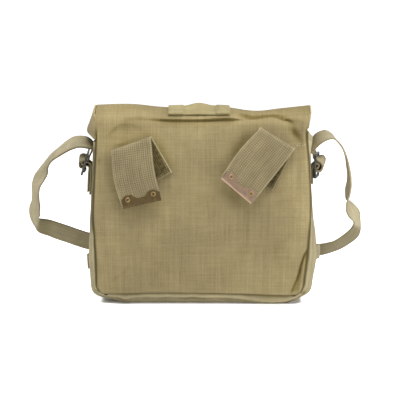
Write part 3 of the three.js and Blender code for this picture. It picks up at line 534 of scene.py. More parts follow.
def fold_shape(x, run):
    """Lift of the folds off the cover, and their painted shade, less a painted highlight on the lip."""
    lift = np.zeros(np.broadcast(x, run).shape)
    dark = lift
    for fold in FOLDS:
        line_x, line_run = np.array(fold["line"], float).T
        off = run - np.interp(x, line_x, line_run)
        start, end = fold["ends"]
        fade = band(x, line_x[0], line_x[0] + start, line_x[-1] - end, line_x[-1])
        upper = smooth(off, -fold["edge"], fold["edge"])
        lip = fold["lip"] * bell(np.maximum(off, 0), fold["above"])
        hollow = fold["hollow"] * bell(np.minimum(off, 0), fold["below"])
        lift = lift + fade * (lip * upper - hollow * (1 - upper))
        # Painted shade along each fold line and below it, and a painted highlight on the lip above it
        line = bell(off + 0.6, fold["wide"]) + 0.25 * bell(off + 4, 5)
        pale = 0.1 * bell(off - 3.4, 2.2)
        dark = dark + fade * fold["dark"] * (line - pale)
    return lift, dark


def leaf_shape(x, run, edge):
    """Step down of the gathered leaf at the low right corner, and its painted shade: dark in its crease,
    softer over the leaf.
    """
    line = np.interp(run, LEAF["run"], LEAF["x"])
    inside = band(run, *LEAF_RUN)
    past = x - line
    across = np.clip(past / np.maximum(edge - line, 1), 0, 1)
    depth = LEAF_DEPTH * smooth(past, -2, 2.5) * (1 - 0.9 * across) * inside
    crease = (0.24 + 0.26 * smooth(run, 12, 34)) * bell(past - 0.8, 1.9)
    dark = inside * (crease + 0.17 * smooth(past, -0.5, 1.5) * smooth(across, 0.9, 0.3))
    return depth, dark


def cover_spot(u, run):
    """Where a share across the cover lies: its x, and how far the side edges are."""
    row = read(COVER, "run", run)
    inset = corner_inset(run, CORNER) + corner_inset(COVER_LENGTH - run, HEM_CORNER)
    x = mix(-row["left"] + inset, row["right"] - inset, u)
    return x, np.minimum(x + row["left"] - inset, row["right"] - inset - x), row["right"] - inset


def cover_face(u, run, dressed=False):
    """Outer face of the cover, u across from the left edge, run along from the bottom hem."""
    row = read(COVER, "run", run)
    ahead = read(COVER, "run", np.minimum(run + 0.5, COVER_LENGTH))
    behind = read(COVER, "run", np.maximum(run - 0.5, 0))
    slope_y = ahead["y"] - behind["y"]
    slope_z = ahead["z"] - behind["z"]
    size = np.hypot(slope_y, slope_z)
    x, to_edge, edge = cover_spot(u, run)
    sewn = smooth(run, *CROWN_END)
    reach = SEAM_ROLL if dressed else ROLL
    crown = BACK_CROWN * roll(to_edge, reach) * roll(run, reach) * sewn
    across = 2 * x / (row["left"] + row["right"])
    belly = BACK_BELLY * (1 - across * across) * roll(run, 60) * sewn
    out = crown + belly - crease_depth(x, run, DENTS) * roll(to_edge, ROLL)
    if dressed:
        free = roll(to_edge, 7)
        out = out + (fold_shape(x, run)[0] - crease_depth(x, run, CREASES)) * free
        out = out - leaf_shape(x, run, edge)[0] * roll(to_edge, 3)
        out = out - hollows(x, run, *BACK_HOLLOWS) * free * smooth(run, *HOLLOWS_END)
        out = out + 0.7 * ripple(x, run, *FLAP_WAVES) * free * smooth(run, *WAVES_START)
        to_seam = np.minimum(to_edge, run)
        gather = np.exp(-to_seam / 5) * smooth(run, *GATHERS_END)
        along_seam = np.where(to_edge < run, run, x)
        out = out - hollows(along_seam, 0 * x, *BACK_GATHERS) * gather * roll(to_seam, 4)
        to_hem = np.minimum(COVER_LENGTH - run, to_edge)
        hem = smooth(run, *HEM_START) * smooth(to_hem, HEM_WIDTH + 1.5, HEM_WIDTH)
        out = out + 0.7 * hem
    ridge = bell(run - RIDGE_RUN, RIDGE_HALF)
    sag = read(RIDGE, "x", x)["sag"] * ridge
    y = row["y"] - slope_z / size * out
    z = row["z"] + slope_y / size * out - sag
    if dressed:
        z = z - read(SEAM_DIP, "x", x)["dip"] * np.exp(-run / 22)
    return np.stack([x, y, z], -1)


def cover_share(x, run):
    row = read(COVER, "run", run)
    return (x + row["left"]) / (row["left"] + row["right"])


def cover_at(x, run):
    return cover_face(cover_share(x, run), run)


def back_y(x, z):
    """Depth of the outer face of the back at a place on the back."""
    return cover_at(x, z - SEAM_Z)[..., 1]


def gusset_out(side, z):
    """Outer face of the side strip, measured outward from the middle of the bag."""
    row = read(SIDES, "z", z)
    return row["left"] + row["swell_left"] if side < 0 else row["right"] + row["swell_right"]


# Sewn lines, gathered as the sheets are made: a surface, the corners of the line in shares, its lift
canvas_seams = []
web_seams = []
tack_seams = []


def box(left, right, low, high):
    return [(left, low), (right, low), (right, high), (left, high), (left, low)]


def both_sides(corners):
    """A line along the left side, and back along the right side as its mirror image."""
    return corners + [(1 - u, v) for u, v in reversed(corners)]


# Modelling by hand: add a primitive, shape it, apply what finishes it


def add_piece(name, add, **settings):
    """A new piece, added as one of the mesh primitives."""
    bpy.ops.object.select_all(action="DESELECT")
    add(**settings)
    piece = bpy.context.object
    piece.name = piece.data.name = name
    return piece


def activate(piece):
    bpy.ops.object.select_all(action="DESELECT")
    piece.select_set(True)
    bpy.context.view_layer.objects.active = piece


def bake_transform():
    bpy.ops.object.transform_apply(location=True, rotation=True, scale=True)


def switch(mode):
    bpy.ops.object.mode_set(mode=mode)


def write_values(mesh, name, values):
    """Keeps one number for every vertex, for a material to read."""
    made = mesh.attributes.new(name, "FLOAT", "POINT")
    made.data.foreach_set("value", np.asarray(values).astype(np.float32))


def apply_modifier(piece, kind, **settings):
    made = piece.modifiers.new(kind.lower(), kind)
    for key, value in settings.items():
        setattr(made, key, value)
    bpy.context.view_layer.objects.active = piece
    bpy.ops.object.modifier_apply(modifier=made.name)


def soften(piece, width, segments=2, angle=40):
    """Bevels the edges that are sharper than an angle."""
    sharp = math.radians(angle)
    apply_modifier(piece, "BEVEL", width=width, segments=segments, limit_method="ANGLE", angle_limit=sharp)


def finish_piece(piece, material, angle=50):
    activate(piece)
    bpy.ops.object.shade_smooth_by_angle(angle=math.radians(angle))
    piece.data.materials.clear()
    piece.data.materials.append(material)
    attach(piece, "root")


def lay_sheet(name, surface, across, along, cut, thick, shade, offset=-1, rim=0.45, weave=None):
    """A flat grid whose vertices are laid on a surface, then thickened and softened at its edges.

    The surface takes the shares across and along and gives places, and cut is the flat width and length.
    The weave gives the place of the threads where they don't follow the shares.
    """
    wide, long = len(across) - 1, len(along) - 1
    piece = add_piece(name, bpy.ops.mesh.primitive_grid_add, x_subdivisions=wide, y_subdivisions=long, size=1)
    mesh = piece.data
    flat = np.array([vertex.co for vertex in mesh.vertices])
    u = across[np.rint((flat[:, 0] + 0.5) * wide).astype(int)]
    v = along[np.rint((flat[:, 1] + 0.5) * long).astype(int)]
    mesh.vertices.foreach_set("co", (surface(u, v) * MM).astype(np.float32).ravel())
    corner = np.array([loop.vertex_index for loop in mesh.loops])
    warp, weft = weave(u, v) if weave else (u * cut[0], v * cut[1])
    places = np.stack([warp[corner], weft[corner]], 1) * MM
    mesh.uv_layers[0].data.foreach_set("uv", places.astype(np.float32).ravel())
    write_values(mesh, "shade", np.clip(shade(u, v), 0, 1))
    mesh.update()
    apply_modifier(piece, "SOLIDIFY", thickness=thick * MM, offset=offset, use_quality_normals=True)
    soften(piece, rim * MM, angle=55)
    return piece


def spread(parts):
    """Shares from 0 to 1 out of stretches given as (length, spacing)."""
    places = [0.0]
    for length, spacing in parts:
        count = max(1, round(length / spacing))
        places.extend(places[-1] + length / count * (k + 1) for k in range(count))
    return np.array(places) / places[-1]


def even(count):
    return np.linspace(0, 1, count + 1)


# Materials


class Finish:
    """A procedural material, built up node by node around its one shader."""

    def __init__(self, name, **constant):
        self.material = bpy.data.materials.new(name)
        self.material.use_nodes = True
        self.tree = self.material.node_tree
        self.shader = self.tree.nodes["Principled BSDF"]
        for key, value in constant.items():
            self.shader.inputs[key.replace("_", " ")].default_value = value

    def add(self, kind, inputs=None, **settings):
        node = self.tree.nodes.new("ShaderNode" + kind)
        for key, value in settings.items():
            setattr(node, key, value)
        for key, value in (inputs or {}).items():
            if isinstance(value, bpy.types.NodeSocket):
                self.tree.links.new(value, node.inputs[key])
            else:
                node.inputs[key].default_value = value
        return node

    def noise(self, scale, detail, rough, turn=0.0, coordinates="UV", warp=0.0):
        """Noise stretched along the threads of the cloth, in metres, or lying in the object."""
        source = self.add("TexCoord").outputs[coordinates]
        turned = (0, 0, math.radians(turn))
        spot = self.add("Mapping", {"Vector": source, "Scale": scale, "Rotation": turned}).outputs[0]
        inputs = {"Vector": spot, "Scale": 1.0, "Detail": detail, "Roughness": rough, "Distortion": warp}
        return self.add("TexNoise", inputs).outputs["Fac"]

    def speckle(self, scale, detail, rough, warp=0.0):
        """Noise alike in every direction through the object."""
        return self.noise((scale, scale, scale), detail, rough, coordinates="Object", warp=warp)

    def along_cloth(self):
        """Places across and along the cloth, in metres."""
        return self.add("SeparateXYZ", {0: self.add("TexCoord").outputs["UV"]}).outputs[:2]

    def math(self, operation, a, b=0.0):
        return self.add("Math", {0: a, 1: b}, operation=operation).outputs[0]

    def sum(self, *parts):
        """Sum of values, each times its weight."""
        total = 0.0
        for value, weight in parts:
            total = self.add("Math", {0: value, 1: weight, 2: total}, operation="MULTIPLY_ADD").outputs[0]
        return total

    def remap(self, value, low, high, to_low=0.0, to_high=1.0, soft=True):
        inputs = {"Value": value, "From Min": low, "From Max": high, "To Min": to_low, "To Max": to_high}
        kind = "SMOOTHSTEP" if soft else "LINEAR"
        return self.add("MapRange", inputs, interpolation_type=kind).outputs[0]

    def blend(self, share, a, b):
        """A mix of two colours, which may be outputs of nodes."""
        a, b = (colour if isinstance(colour, bpy.types.NodeSocket) else (*colour, 1.0) for colour in (a, b))
        return self.add("Mix", data_type="RGBA", inputs={0: share, 6: a, 7: b}).outputs[2]

    def attribute(self, name):
        return self.add("Attribute", attribute_name=name).outputs["Fac"]

    def value_shift(self, colour, amount):
        """Makes a colour lighter or darker, by a factor."""
        return self.add("HueSaturation", {"Value": amount, "Color": colour}).outputs[0]

    def shaded(self, colour):
        """Lightens or darkens a colour by the painted light and shade of its sheet, browner where that is
        darker.
        """
        shade = self.attribute("shade")
        amount = self.remap(shade, 0.0, 1.0, 0.25, 1.75, soft=False)
        strength = self.remap(shade, 0.1, 0.5, 1.35, 1.0, soft=False)
        inputs = {"Saturation": strength, "Value": amount, "Color": colour}
        return self.add("HueSaturation", inputs).outputs[0]

    def bump(self, height, strength, distance):
        inputs = {"Height": height, "Strength": strength, "Distance": distance}
        return self.add("Bump", inputs).outputs[0]

    def link(self, socket, name):
        self.tree.links.new(socket, self.shader.inputs[name])


def cloth_finish(name, dark, mid, light, slub, warp_pitch=0.0009, weft_pitch=0.0011, depth=0.00035):
    """Washed cotton: slubby threads both ways, mottled fading, painted light and shade from its sheet, and a
    plain weave.
    """
    finish = Finish(name, Roughness=0.92, Specular_IOR_Level=0.2, Sheen_Weight=0.12, Sheen_Roughness=0.6)
    warp_slub = finish.noise((520, 14, 1), 3.0, 0.6)
    weft_slub = finish.noise((16, 460, 1), 3.0, 0.6)
    broad_slub = finish.noise((160, 7, 1), 2.0, 0.5)
    fading = finish.speckle(13, 4.0, 0.6, 0.4)
    grain = finish.speckle(900, 2.0, 0.6)
    threads = finish.sum((warp_slub, 0.45), (weft_slub, 0.32), (broad_slub, 0.17), (grain, 0.38))
    threads = finish.remap(threads, 0.66 - slub, 0.66 + slub, soft=False)
    colour = finish.blend(0.45, finish.blend(threads, dark, light), mid)
    colour = finish.value_shift(colour, finish.remap(fading, 0.3, 0.72, 0.86, 1.14))
    finish.link(finish.shaded(colour), "Base Color")
    across, along = finish.along_cloth()
    warp = finish.math("SINE", finish.math("MULTIPLY", across, math.pi / warp_pitch))
    weft = finish.math("SINE", finish.math("MULTIPLY", along, math.pi / weft_pitch))
    height = finish.sum((finish.math("MULTIPLY", warp, weft), 0.5), (threads, 0.8))
    finish.link(finish.bump(height, 0.5, depth), "Normal")
    return finish.material


def webbing_finish(name, dark, mid, light, rib, pick, groove, width, edge_pale=0.0, pick_share=0.22):
    """Webbing: ribs along its length, picks across them, and selvedges that may be paler."""
    finish = Finish(name, Roughness=0.9, Specular_IOR_Level=0.2, Sheen_Weight=0.12, Sheen_Roughness=0.6)
    across, along = finish.along_cloth()
    ribs = finish.math("COSINE", finish.math("MULTIPLY", across, 2 * math.pi / rib))
    every = finish.math("SINE", finish.math("MULTIPLY", across, math.pi / rib))
    picks = finish.math("COSINE", finish.sum((along, 2 * math.pi / pick), (every, 0.7)))
    slub = finish.noise((420, 24, 1), 3.0, 0.6)
    fading = finish.speckle(26, 4.0, 0.6, 0.3)
    grain = finish.speckle(1100, 2.0, 0.6)
    threads = finish.remap(finish.sum((slub, 0.7), (grain, 0.4)), 0.3, 0.8, soft=False)
    colour = finish.blend(0.4, finish.blend(threads, dark, light), mid)
    lines = finish.sum((finish.remap(ribs, -1, 0.2), 1.0), (picks, pick_share))
    lines = finish.remap(lines, -0.1, 1.1, 1 - groove, 1 + 0.35 * groove, soft=False)
    colour = finish.value_shift(colour, lines)
    edge = finish.math("ABSOLUTE", finish.math("SUBTRACT", across, width / 2))
    selvedge = finish.remap(edge, width / 2 - 0.0024, width / 2 - 0.001, 0, edge_pale)
    colour = finish.blend(selvedge, colour, light)
    colour = finish.value_shift(colour, finish.remap(fading, 0.3, 0.72, 0.9, 1.1))
    finish.link(finish.shaded(colour), "Base Color")
    finish.link(finish.bump(finish.sum((ribs, 0.6), (picks, 0.4), (grain, 0.5)), 0.6, 0.00035), "Normal")
    return finish.material


def metal_finish(name, dark, light, metal, rough, wear):
    """Old metal: tarnish in patches, small scratches, worn bare with a painted glint where marked, painted
    shade in bores.
    """
    finish = Finish(name, Metallic=metal)
    patches = finish.speckle(120, 5.0, 0.65, 0.8)
    scratch = finish.noise((900, 160, 420), 3.0, 0.7, turn=31, coordinates="Object")
    share = finish.sum((patches, 0.75), (scratch, 0.25))
    share = finish.remap(share, 0.5 - 0.3 * wear, 0.5 + 0.3 * wear)
    # Worn bare metal and a painted glint: a bright colour where the mark is set
    bare_and_glint = tuple(min(1, 2.2 * part) for part in light)
    colour = finish.blend(finish.attribute("worn_and_glint"), finish.blend(share, dark, light), bare_and_glint)
    finish.link(finish.blend(finish.attribute("bore_shade"), colour, BORE_SHADE), "Base Color")
    finish.link(finish.remap(patches, 0.3, 0.7, rough + 0.12, rough - 0.1, soft=False), "Roughness")
    finish.link(finish.bump(finish.math("ADD", patches, scratch), 0.35, 0.0003), "Normal")
    return finish.material


def thread_finish(name, dark, light):
    """Sewing thread: twisted, with dirt on it."""
    finish = Finish(name, Roughness=0.85, Specular_IOR_Level=0.3)
    twist = finish.speckle(1500, 2.0, 0.6)
    dirt = finish.speckle(60, 3.0, 0.6)
    share = finish.remap(finish.sum((twist, 0.5), (dirt, 0.5)), 0.35, 0.65)
    finish.link(finish.blend(share, dark, light), "Base Color")
    finish.link(finish.bump(twist, 0.5, 0.0002), "Normal")
    return finish.material


# Colours from dark to light, then the contrast of a cloth's slubs, or the rib, pick, groove and width of
# a webbing with how pale its edge is and how strong its picks are, or how metallic, rough and worn a metal is
# Near black for the painted shade in the bores of the rivets
BORE_SHADE = (0.02, 0.014, 0.008)
canvas = cloth_finish(
    "washed_canvas", (0.215, 0.167, 0.072), (0.322, 0.255, 0.118), (0.415, 0.342, 0.18), 0.14
)
# The side strip is the same canvas, painted paler and greyer as a lit copy for the light on the sides
side_canvas_lit = cloth_finish("canvas_side", (0.31, 0.26, 0.135), (0.44, 0.372, 0.212), (0.54, 0.475, 0.3), 0.16)
NARROW_RIBS = (0.0018, 0.0016, 0.16, WEB_WIDTH * MM)
web = webbing_finish("narrow_web", (0.30, 0.25, 0.14), (0.43, 0.37, 0.225), (0.56, 0.5, 0.33), *NARROW_RIBS)
handle_web = webbing_finish(
    "handle_web", (0.26, 0.21, 0.09), (0.36, 0.3, 0.14), (0.47, 0.4, 0.21), *NARROW_RIBS,
)
broad_web = webbing_finish(
    "broad_web", (0.2, 0.157, 0.07), (0.283, 0.226, 0.115), (0.43, 0.365, 0.21), 0.0029, 0.0031, 0.33,
    BROAD_WIDTH * MM, 0.4, 0.45,
)
# One aged brass for both hook plates: darker on the left, and a paler, pinker lit copy with a painted
# reflection on the right
plate_brown = metal_finish("brown_brass", (0.062, 0.042, 0.011), (0.185, 0.118, 0.04), 0.4, 0.55, 1.0)
plate_brass_lit = metal_finish("brass_lit_copy", (0.24, 0.165, 0.11), (0.43, 0.295, 0.2), 0.5, 0.45, 1.1)
rivet_brass = metal_finish("rivet_brass", (0.22, 0.14, 0.05), (0.66, 0.46, 0.22), 0.8, 0.36, 0.9)
black_metal = metal_finish("black_metal", (0.02, 0.021, 0.018), (0.19, 0.19, 0.165), 0.6, 0.42, 0.8)
thread = thread_finish("thread", (0.22, 0.18, 0.1), (0.5, 0.44, 0.3))
pale_thread = thread_finish("pale_thread", (0.5, 0.45, 0.32), (0.78, 0.73, 0.58))


# Canvas panels


def cover_surface(u, v):
    return cover_face(u, v * COVER_LENGTH, dressed=True)


def cover_shade(u, v):
    """Painted light and shade: dark folds, creases, seams and top, shadows by the straps, lit ridges and
    rolled edges.
    """
    run = v * COVER_LENGTH
    x, to_edge, edge = cover_spot(u, run)
    to_seam = np.minimum(to_edge, run)
    creases = crease_depth(x, run, CREASES)
    # Painted shade in the creases, and a painted highlight on the ridges among them
    tone = 0.5 - 0.12 * np.maximum(creases, 0) - 0.04 * np.minimum(creases, 0)
    # Painted shade of the folds, by the straps and in the corners, and in the leaf; dirt by the tack and a
    # stain
    tone = tone - fold_shape(x, run)[1] - crease_depth(x, run, SHADE_AND_GRIME) - leaf_shape(x, run, edge)[1]
    tone = tone - 0.045 * band(run, *DIM_RUN)
    # Painted shade in the seam grooves at the bottom and the sides of the back, weaker at the bottom left,
    # and a painted highlight on the rolled edge beside them, stronger at the right
    on_back = smooth(run, *SEAM_LINE_END)
    seam_shade_share = 1 - 0.6 * bell(run - 7, 7) * (x < 0)
    tone = tone - 0.42 * bell(run, 1.4) * seam_shade_share
    tone = tone - 0.95 * bell(to_edge, 1.9) * on_back * seam_shade_share
    tone = tone + (0.06 + 0.05 * (x > 0)) * bell(to_seam - 3.9, 1.6) * on_back
    # Painted shade in the tuck along the right edge above the leaf
    tone = tone - 0.3 * bell(edge - x, 3.4) * band(run, *TUCK_RUN)
    # Painted light on the right of the back
    tone = tone + 0.12 * smooth(x, 85, 140) * band(run, *PALE_RUN)
    # More painted shade over the top, deeper toward the right
    tone = tone - (0.055 + 0.1 * smooth(x, 30, 110)) * band(run, *TOP_RUN)
    hem_line = np.minimum(COVER_LENGTH - run, to_edge) - HEM_WIDTH - 1
    return tone - 0.06 * bell(hem_line, 1.2) * smooth(run, *HEM_START)


def cover_weave(u, v):
    run = v * COVER_LENGTH
    return cover_spot(u, run)[0] + COVER_CUT[0] / 2, run


across_cover = spread([(5, 0.8), (30, 1.9), (215, 2.8), (51, 1.3), (5, 0.8)])
along_cover = spread([(5, 0.8), (70, 1.6), (130, 2.8), (70, 1.0), (125, 3.2), (74, 3.6), (15, 1.6)])
cover = lay_sheet(
    "cover_canvas", cover_surface, across_cover, along_cover, COVER_CUT, CANVAS, cover_shade,
    weave=cover_weave,
)
finish_piece(cover, canvas)
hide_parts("cover")
hem_low, hem_high = 1 - HEM_WIDTH / COVER_LENGTH, HEM_START[1] / COVER_LENGTH
flap_hem = [(0.034, hem_high), (0.034, hem_low - 0.03), (0.06, hem_low)]
canvas_seams.append((cover_surface, both_sides(flap_hem), 0))
for tack in TACKS:
    corners = [(float(cover_share(x, run)), run / COVER_LENGTH) for x, run in tack]
    tack_seams.append((cover_surface, corners, 0.15))


# Side strip: ends of its left side, left corner, base, right corner and right side along its length
GUSSET_LOW = SEAM_Z + CORNER
BASE_LEFT = CORNER - SIDES["left"][0]
BASE_RUN = SIDES["right"][0] - CORNER - BASE_LEFT
TURN_RUN = CORNER * math.pi / 2
GUSSET_MARKS = np.cumsum([
    GUSSET_TOP_LEFT - GUSSET_LOW, TURN_RUN, BASE_RUN, TURN_RUN, GUSSET_TOP_RIGHT - GUSSET_LOW,
])
GUSSET_CUT = (84.0, GUSSET_MARKS[-1])


def gusset_station(share):
    """Stations of the side strip down the left side, round the base and up the right side."""
    left_end, base_start, base_end, right_start, length = GUSSET_MARKS
    at = share * length
    z_left = np.maximum(GUSSET_TOP_LEFT - at, GUSSET_LOW)
    z_right = np.maximum(GUSSET_LOW + at - right_start, GUSSET_LOW)
    side = np.where(at < (base_start + base_end) / 2, -1, 1)
    z_side = np.where(side < 0, z_left, z_right)
    row = read(SIDES, "z", z_side)
    seam = np.where(side < 0, row["left"], row["right"])
    swell = np.where(side < 0, row["swell_left"], row["swell_right"])
    turn = np.clip(np.where(side < 0, at - left_end, right_start - at) / CORNER, 0, math.pi / 2)
    x = side * (seam - CORNER * (1 - np.cos(turn)))
    x = np.where((at > base_start) & (at < base_end), BASE_LEFT + at - base_start, x)
    z = z_side - CORNER * np.sin(turn)
    swell = mix(swell, SEAM_Z, smooth(turn, 0, math.pi / 2))
    out = np.stack([side * np.cos(turn), 0 * turn, -np.sin(turn)], -1)
    return dict(x=x, z=z, out=out, swell=swell, back=row["back"], front=row["front"], at=at, turn=turn)


def gusset_surface(u, v):
    """Outer face of the side strip, u from the back to the front, v along it."""
    s = gusset_station(v)
    back = s["back"] + CANVAS + GAP
    front = s["front"] - CANVAS - GAP
    y = mix(back, front, u)
    to_seam = np.minimum(y - back, front - y)
    square = sum(share * bell(s["x"] - middle, half) for middle, half, share in SQUARE_EDGES)
    square = square * smooth(s["turn"], 0.8, 1.5) * (u < 0.5)
    out = s["swell"] * roll(to_seam, ROLL - 6.5 * square)
    below = smooth(s["turn"], 0.5, 1.4) * (0.7 + 0.3 * ripple(s["at"], 0 * y, *PIPING_WAVES))
    out = out + (0.5 + 0.8 * below) * bell(to_seam - 2.4, 1.3)
    out = out - below * bell(to_seam - 5.2, 1.4)
    gather = bell(to_seam - 5, 5)
    resting = smooth(s["turn"], 1.2, 1.5)
    out = out - hollows(s["at"], 0 * y, *STRIP_GATHERS) * gather
    out = out - hollows(s["at"], y, *STRIP_HOLLOWS) * (1 - resting)
    place = np.stack([s["x"], y, s["z"]], -1) + s["out"] * out[..., None]
    dip = read(SEAM_DIP, "x", np.clip(place[..., 0], -158, 158))["dip"]
    place[..., 2] -= dip * smooth(s["turn"], 0.3, 1.3) * smooth(y - back, 14, 0)
    slack = smooth(s["z"], GUSSET_TOP_RIGHT - GUSSET_SAG_SPAN, GUSSET_TOP_RIGHT) * (s["x"] > 0)
    place[..., 2] = np.maximum(place[..., 2] - GUSSET_SAG_RIGHT * np.sin(math.pi * u) * slack, 0.05)
    low = np.clip(1 - place[..., 2] / SEAM_Z, 0, 1)
    ends = sum(smooth(place[..., 0], *rise) for rise in BASE_RISES)
    place[..., 2] += BASE_LIFT * ends * low
    return place


def gusset_shade(u, v):
    """Painted shade in the seam, groove, corners and behind the strap, painted highlights on the ridge and
    base.
    """
    s = gusset_station(v)
    to_seam = np.minimum(u, 1 - u) * (s["front"] - s["back"] - 2 * CANVAS)
    below = smooth(s["turn"], 0.5, 1.4)
    groove_shade_wave = 0.5 + 0.5 * ripple(s["at"], 0 * u, *PIPING_WAVES)
    beside = smooth(s["z"], 14, 30) * (1 - below)
    # Painted shade in the seam groove, wider and darker up the sides
    tone = 0.52 - (0.34 + 0.5 * beside) * bell(to_seam, 0.9 + 0.5 * beside)
    # Painted highlight on the piped ridge beside the seam
    tone = tone + (0.1 + 0.2 * below) * bell(to_seam - 2.6, 1.2)
    # Painted shade in the groove beyond the ridge, varying along the base, and a slightly darker base
    tone = tone - (0.04 + 0.2 * below * groove_shade_wave) * bell(to_seam - 5.4, 1.2) - 0.07 * below
    # Painted highlight on the base's roll
    tone = tone + 0.4 * below * bell(to_seam - 13, 4.5)
    # Painted shade in the pinches at the bottom corners
    pinch = bell(s["turn"] - 0.8, 0.14) * bell(to_seam, 5)
    z, left = s["z"], s["x"] < 0
    # Painted shadow of the strap on the sides near the back, and painted shade in the slit at the top right
    strap_shadow_left = band(z, *SHADED_LEFT) * left
    strap_shadow_right = band(z, *SHADED_RIGHT) * ~left
    by_back = bell(u * (s["front"] - s["back"]), 22)
    slit = bell(u * (s["front"] - s["back"]), 2.6) * smooth(z, 212, 220) * ~left
    tone = tone - 0.4 * slit - (0.44 * strap_shadow_left + 0.38 * strap_shadow_right) * by_back
    # Paler at the top of the right side
    tone = tone + 0.14 * smooth(z, 218, 228) * ~left
    # Painted shade in a hole at the low right corner, and a slightly darker base
    hole = bell(s["turn"] - 0.78, 0.11) * bell(to_seam - 4, 2.2) * (u < 0.5) * ~left
    return tone - 0.3 * pinch - 0.55 * hole - 0.03 * smooth(s["turn"], 0.6, 1.5)


gusset_across = spread([(8, 0.8), (7, 1.6), (37, 3), (7, 1.6), (8, 0.8)])
gusset = lay_sheet(
    "gusset_canvas", gusset_surface, gusset_across, even(230), GUSSET_CUT, CANVAS, gusset_shade,
)
finish_piece(gusset, side_canvas_lit)
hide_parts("gusset")
for hem in (0.011, 0.989):
    canvas_seams.append((gusset_surface, [(0.03, hem), (0.97, hem)], 0))
for seam in (0.078, 0.922):
    canvas_seams.append((gusset_surface, [(seam, share) for share in np.linspace(0.02, 0.98, 9)], 0))


def front_surface(u, v):
    """Outer face of the pocket's front, u across from the left edge, v down from its top."""
    z = mix(FRONT_TOP, SEAM_Z, v)
    row = read(SIDES, "z", z)
    inset = corner_inset(z - SEAM_Z, CORNER)
    x = mix(-row["left"] + inset, row["right"] - inset, u)
    to_edge = np.minimum(np.minimum(x + row["left"], row["right"] - x) - inset, z - SEAM_Z)
    out = FRONT_CROWN * roll(to_edge, ROLL)
    out = out - hollows(x, z, *FRONT_HOLLOWS) * roll(to_edge, 8)
    gather = np.exp(-to_edge / 5) * roll(to_edge, 4)
    out = out - hollows(x + z, x - z, *FRONT_GATHERS) * gather
    return np.stack([x, row["front"] + out, z], -1)


def front_shade(u, v):
    # Painted shade in the seam along the edges, and a painted highlight on the rolled edge beside it
    to_edge = np.minimum(np.minimum(u, 1 - u) * FRONT_CUT[0], (1 - v) * FRONT_CUT[1])
    return 0.5 - 0.24 * bell(to_edge, 1.6) + 0.06 * bell(to_edge - 5.5, 3.0)


front_across = spread([(14, 1.6), (278, 4), (14, 1.6)])
front_along = spread([(208, 4), (15, 1.6)])
front = lay_sheet(
    "front_panel_canvas", front_surface, front_across, front_along, FRONT_CUT, CANVAS, front_shade,
)
finish_piece(front, canvas)
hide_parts("front_panel")
front_seam = [(0.0165, 0.02), (0.0165, 0.94), (0.045, 0.977)]
canvas_seams.append((front_surface, both_sides(front_seam), 0))
canvas_seams.append((front_surface, [(0.02, 0.036), (0.98, 0.036)], 0))


def make_wing(name, side, rows, back_run, front_run, rise, cut):
    """Ear at the end of the top, joined to the edges of the cover at back and front, free between them."""

    def edge(run):
        return cover_face(np.full_like(run, 0.0 if side < 0 else 1.0), run)

    def surface(u, v):
        along = u if side < 0 else 1 - u

        def between(share):
            back = edge(mix(WING_BACK_RUN, back_run, share))
            return mix(back, edge(mix(WING_FRONT_RUN, front_run, share)), along[..., None])

        top = edge(mix(WING_BACK_RUN, WING_FRONT_RUN, along))
        place = between(v) + (top - between(0 * v)) * (1 - v)[..., None]
        free = smooth(along, 0, WING_FULL) * (1 - WING_HELD * smooth(along, WING_FALL, 1))
        out = read(rows, "drop", v)["out"] * free + CLOTH_GAP + CANVAS
        slack = np.sin(math.pi * u) * np.sin(math.pi * v)
        out = out - hollows(u * 66, v * 40, *WING_HOLLOWS) * slack
        hem = smooth(v, 0.76, 0.82)
        tuck = smooth(along, 0.1, 0)
        place[..., 0] += side * (out - 0.5 * (1 - hem) * v - WING_TUCK * tuck)
        place[..., 1] += (CANVAS + GAP) * tuck
        place[..., 2] += rise * np.sin(math.pi * along) * v
        return place

    def shade(u, v):
        # Painted light and shade: lighter at the top of the ear, darker toward its lower edge, with a dark
        # line along the hem
        return 0.72 - 0.2 * smooth(v, 0.35, 1.0) - 0.1 * bell(v - 0.79, 0.03)

    wing = lay_sheet(f"wing_{name}_canvas", surface, even(40), even(30), cut, CANVAS, shade)
    finish_piece(wing, canvas)
    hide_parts(f"wing_{name}")
    canvas_seams.append((surface, [(0.04, 0.79), (0.5, 0.79), (0.96, 0.79)], 0))


for wing_name, wing_row in WINGS.items():
    make_wing(wing_name, **wing_row)


# Carry handle


def handle_rise(x, v):
    half = (HANDLE_TO - HANDLE_FROM) / 2 - HANDLE_SEWN
    t = (x - (HANDLE_FROM + HANDLE_TO) / 2) / half
    arch = np.where(np.abs(t) < 1, 0.5 + 0.5 * np.cos(math.pi * t), 0)
    return CLOTH_GAP + WEB / 2 + HANDLE_RISE * arch * mix(0.25, 1.05, v)


def tab_rise(x, v):
    return np.full_like(x, CLOTH_GAP + WEB + GAP + TAB_WEB / 2)


def top_strip(start, end, width, rise, shift=0.0):
    """A strip lying along the top of the cover, raised off it."""

    def surface(u, v):
        x = mix(start, end, u)
        run = HANDLE_RUN + shift + (v - 0.5) * width
        dx = cover_at(x + 0.1, run) - cover_at(x - 0.1, run)
        dr = cover_at(x, run + 0.1) - cover_at(x, run - 0.1)
        return cover_at(x, run) + unit(np.cross(dx, dr)) * rise(x, v)[..., None]

    return surface


def turned(surface):
    """The same strip with its length along the second share, as webbing is woven."""
    return lambda u, v: surface(v, 1 - u)


def strip_shade(u, v):
    # Darker along both edges: dirt and painted shade there
    return 0.52 - 0.1 * bell(np.minimum(u, 1 - u), 0.05)


